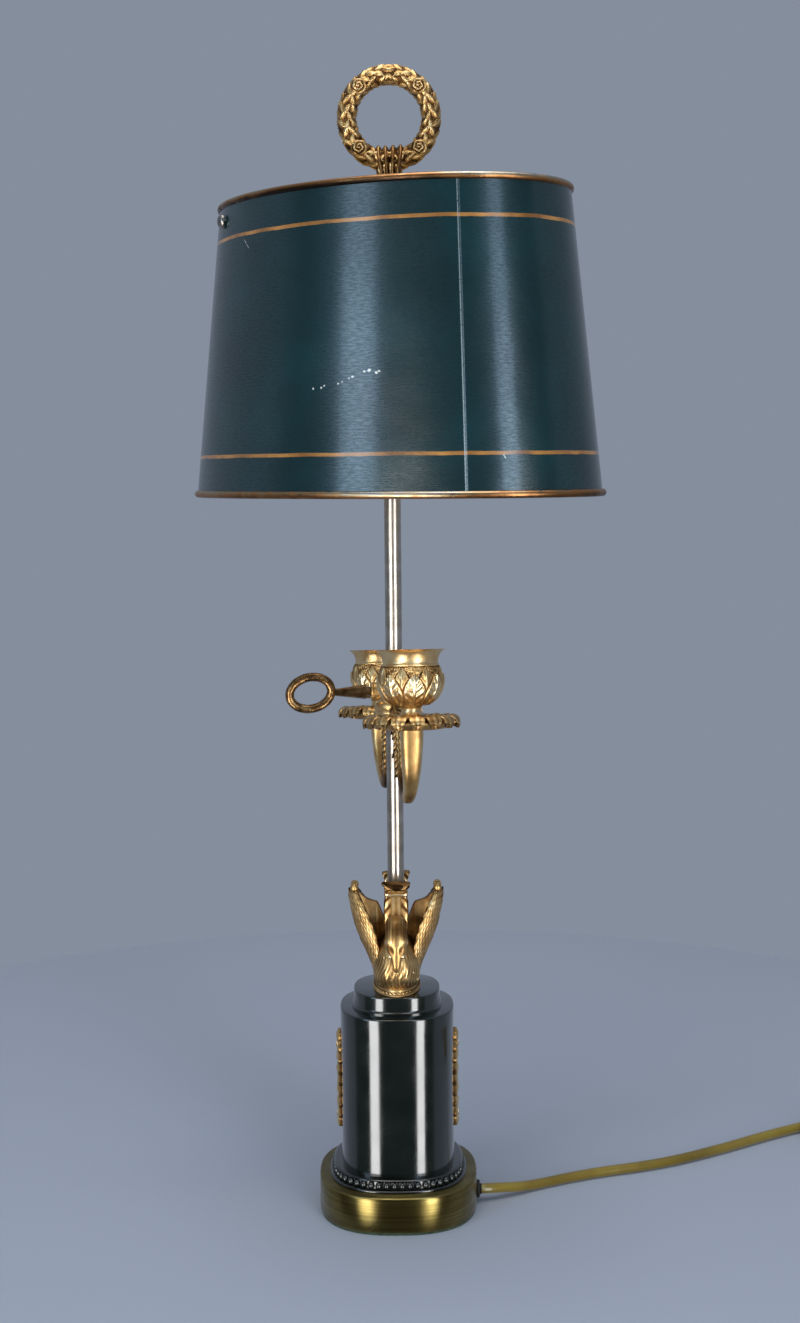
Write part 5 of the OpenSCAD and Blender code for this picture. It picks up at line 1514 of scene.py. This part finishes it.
rows = smooth([(0.15, 2.5), (1.5, 2.3), (2.9, 1.7), (3.9, 0.8), (ROSE_R, -0.6), (ROSE_R, -1.8)], 40)
r, t = rows[:, 0:1], circle(60)
petals = 0.32 * np.cos(2 * np.pi * r / 1.9 + t + 0.6 * np.sin(5 * t)) * (r > 0.3)
rose = raised(turned(rows, 60), petals)
for turn in np.radians(range(45, 360, 90)):
    middle = shift(RING_R * math.cos(turn), 0, WREATH_Z + RING_R * math.sin(turn))
    for face in (90, -90):
        bloom = solid("rose", rose, "gilt_brass", depth=0.5 - petals * 1.1, crease=70)
        parts.append(moved(bloom, middle @ about("X", face) @ shift(0, 0, CORE_R)))
print(len(parts) - 1, "roses on the ring")

# %% [markdown]
# The ribbon's four loops show as knobs inside the ring. Their tails wrap the tube on both faces and run
# down the foot, which is turned and then pressed into folds.

# %% Wreath foot
FOOT_Z = span("wreath_finial")[0][2]
KNOT_Z = WREATH_Z - RING_R + TUBE_R
# Each ribbon's place, half width, tail's place at the ring and at the foot, and its loop's radius
RIBBONS = ((-6, 2.0, -4.2, -7.4, 2.1), (-2.1, 1.9, -1.4, -2.4, 2.0), (2.1, 2.1, 1.6, 2.2, 2.2),
           (6.2, 2.4, 4.4, 7.2, 2.6))
rows = smooth([(6.6, FOOT_Z), (8.8, FOOT_Z + 0.3), (9, FOOT_Z + 1.2), (8.4, FOOT_Z + 2.6), (7, FOOT_Z + 4.4),
               (6, FOOT_Z + 8), (5.5, FOOT_Z + 14), (6.2, RING_LOW - 2), (7, RING_LOW + 1),
               (5.6, RING_LOW + 3.4), (3, RING_LOW + 4.4)], 70)
z = rows[:, 1:2]
folds = 0.5 * np.cos(11 * circle(120) + 0.09 * z) * np.clip((z - FOOT_Z - 0.6) / 3, 0, 1)
foot = raised(turned(rows, 120), folds)
parts.append(solid("foot", foot, "gilt_brass", depth=0.45 - folds * 0.9, crease=60))
s = np.linspace(0, 1, 40)
for face in (-1, 1):
    for x, half, low_x, foot_x, _ in RIBBONS:
        tail = smooth([(x, 0, KNOT_Z - 0.8), (x, face * 1.6, KNOT_Z + 1.1), (x, face * 4.6, KNOT_Z - 2.6),
                       (x * 0.92, face * 6.6, KNOT_Z - 6), (x * 0.8, face * 6.8, KNOT_Z - 9.6),
                       (low_x, face * 6.6, KNOT_Z - 14), (low_x, face * 6.3, RING_LOW - 9),
                       (foot_x, face * 6.9, FOOT_Z + 3.2)], 40)
        wide = half * (0.62 + 0.38 * crest(s, 0.12, 0.12) - 0.15 * np.sin(3 * np.pi * s))
        ribbon = sweep(tail, wide, wide * 0.62, (1, 0, 0), 18, 2.2)
        depth = 0.3 + 0.3 * np.abs(np.sin(4 * s))[:, None]
        parts.append(solid("ribbon", ribbon, "gilt_brass", depth=depth, crease=70))
for x, *_, r in RIBBONS:
    dome = smooth([(r, -3), (r * 1.02, -0.6), (r * 0.86, 1), (r * 0.5, 2), (0.1, 2.4)], 14)
    # painted shade: the loops inside the ring are drawn at a darker depth
    dome = solid("loop", turned(dome, 24), "gilt_brass", depth=0.62, crease=70)
    parts.append(moved(dome, shift(x, 0, KNOT_Z + 0.2)))


def shade_below(piece, low, high, amount):
    """Paints shade on the points below high by adding to their depth, the full amount at low. Heights are in
    millimetres.
    """
    layer = piece.data.attributes["depth"].data
    for spot, value in zip(piece.data.vertices, layer):
        value.value += amount * min(1, max(0, (high - spot.co.z / MM) / (high - low)))


wreath = join("gilt_wreath", parts)
# painted shade on the wreath's lower part
shade_below(wreath, RING_LOW, WREATH_Z - 6, 0.2)
place(wreath, "finial", "gilt_brass", "wreath_finial")
print(len(wreath.data.polygons), "faces in the wreath")

# %% [markdown]
# ## Cord
# The cord is one curve: out of the drum's side, along the table in the points that follow, then a coil
# that holds the length the lamp is stored with, and the plug. The coil winds in on the table for about
# three and a half turns, climbs, and winds out again on top of them. It shifts by one pitch over about
# half a turn, and it climbs before it starts to wind out, so no two turns meet.

# %% Cord
CORD_D = 6.0
ROUTE = [(43, 0, 7.5), (49, 0, 7.5), (55, 1.4, 7.2), (62, 4.4, 6.2), (69, 8, 4.8), (76, 12, 3.6),
         (84, 16.2, 3), (98, 23, 3), (112, 29, 3), (126, 34, 3), (140, 38, 3), (154, 42.5, 3), (168, 48, 3),
         (182, 55, 3), (196, 63, 3), (210, 71, 3), (224, 80, 3), (238, 88.5, 3), (252, 96.5, 3),
         (263, 102.2, 3)]
TAIL = [(346.8, 55.6, 5.8), (343.4, 47.4, 6.5), (341, 40.6, 7), (340, 37, 7), (340, 34, 7)]
COIL_AT = (307, 80)
COIL_OUT = 40.6
PITCH = 6.14
LAYER = 6.1
COIL_START = 141
COIL_TURNS = 7.43
STEPS_A_TURN = 20


def eased(value, start, length):
    """A smooth step from 0 to 1 that starts at start and takes length."""
    share = min(1, max(0, (value - start) / length))
    return share * share * (3 - 2 * share)


def coil_point(turn):
    """The coil's centre line after a number of turns, in millimetres: in, up a layer, out and half down."""
    pitches = sum(eased(turn, 3.9 + k, 0.55) - eased(turn, 0.65 + k, 0.55) for k in range(3))
    enter, leave = 1 - eased(turn, 0, 0.35), eased(turn, 6.9, 0.5)
    r = COIL_OUT + PITCH * pitches + (PITCH + 1.2) * leave + 2.6 * enter
    z = CORD_D / 2 + LAYER * eased(turn, 3.38, 0.34) - 3.1 * eased(turn, 7.1, 0.38)
    angle = math.radians(COIL_START - 360 * turn)
    return COIL_AT[0] + r * math.cos(angle), COIL_AT[1] + r * math.sin(angle), z


coil = [coil_point(turn) for turn in np.arange(0.03, COIL_TURNS, 1 / STEPS_A_TURN)]
line = [Vector(p) * MM for p in ROUTE + coil + TAIL]
curve = bpy.data.curves.new("lamp_cord", "CURVE")
curve.dimensions = "3D"
curve.resolution_u = 4
curve.bevel_depth = CORD_D / 2 * MM
curve.bevel_resolution = 5
curve.use_fill_caps = True
spline = curve.splines.new("NURBS")
spline.points.add(len(line) - 1)
for point, spot in zip(spline.points, line):
    point.co = (*spot, 1)
spline.order_u = 4
spline.use_endpoint_u = True
curve.materials.append(FINISH["cord_gold"])
cord = put("lamp_cord", curve)
place(cord, "base", "cord_gold", "power_cord", "cord_coil")
print(len(line), "points on the cord")

# %% [markdown]
# The bushing is a turned rubber grommet. The plug is flat with round sides, with a ribbed neck and grip
# ribs on its faces, and its pins have round tips and moulded sleeves.

# %% Bushing
exit_x = drum_high[0]
rows = [(3.05, 3), (3.05, -4), (5.2, -4), (5.4, -3.4), (5.4, -2.6), (4.3, -2.3), (4.3, 0.3), (5.2, 0.35),
        (5.4, 0.7), (5.2, 1.5), (4.6, 2), (3.05, 2.1)]
grommet = solid("cord_grommet", turned(rows, 48), "black_rubber", loop=True, crease=50)
moved(grommet, shift(exit_x, 0, ROUTE[0][2]) @ about("Y", 90))
place(grommet, "base", "black_rubber", "cord_bushing")
print("bushing at", round(exit_x, 1), "mm")

# %% Plug
PLUG_AT = TAIL[-1]
PLUG_NECK, PLUG_BODY = 10.0, 26.0
PLUG_HALF = (13.2, 6.5)
PIN_PITCH, PIN_LENGTH = 18.6, 19.0
rings = []
for s in np.linspace(0, 1, 21):
    r = 3.6 + 2.6 * s + 0.35 * math.cos(5 * 2 * math.pi * s)
    rings.append(outline(r, r, PLUG_NECK * s, 2, 64))
for s in np.linspace(0, 1, 40):
    swell = math.sin(min(1, s * 6 + 0.35, (1 - s) * 8 + 0.45) * math.pi / 2)
    grip = 0.28 * math.cos(2 * math.pi * 7 * s) * (0.12 < s < 0.78)
    half_x, half_y = PLUG_HALF
    rings.append(outline(half_x * swell, half_y * swell + grip, PLUG_NECK + PLUG_BODY * s, 2.8, 64))
sleeves, pins = [solid("body", rings, "plug_gold", crease=50)], []
z = PLUG_NECK + PLUG_BODY
sleeve_rows = [(0.1, z - 1), (1.95, z - 1), (1.95, z + 9.6), (1.8, z + 10), (0.1, z + 10)]
pin_rows = [(0.1, z + 9), (1.9, z + 9), (2, z + 10.2), (2, z + PIN_LENGTH - 1.6),
            (1.5, z + PIN_LENGTH - 0.4), (0.1, z + PIN_LENGTH)]
for x in (-PIN_PITCH / 2, PIN_PITCH / 2):
    sleeves.append(moved(solid("sleeve", turned(sleeve_rows, 24), "plug_gold"), shift(x, 0, 0)))
    pins.append(moved(solid("pin", turned(pin_rows, 24), "cap_metal", crease=50), shift(x, 0, 0)))
lay = shift(*PLUG_AT) @ about("X", 90)
plug = place(moved(join("moulded_plug", sleeves), lay), "base", "plug_gold", "plug_body")
prongs = place(moved(join("plug_prongs", pins), lay), "base", "cap_metal", "plug_pins")
print("plug at", PLUG_AT)

# %% [markdown]
# ## The pieces that stay
# The hidden pieces and the small fixings keep their frame meshes, and only get their finish: the pad, the
# weight, the washer and nut, the lead, the pins, the caps, the cross bar and the cup screws.

# %% Finishes on frame pieces
STAY = {"felt_pad": "baize", "base_weight": "cast_iron", "side_mount_pins": "gilt_brass",
        "stem_washer": "zinc_steel", "stem_nut": "zinc_steel", "inner_lead": "cord_gold",
        "bulb_caps": "cap_metal", "shade_bar": "turned_brass", "cup_screws": "turned_brass"}
for node, name in STAY.items():
    mesh = frame["nodes"][node].data
    mesh.materials.clear()
    mesh.materials.append(FINISH[name])
print(len(STAY), "frame pieces with a finish")
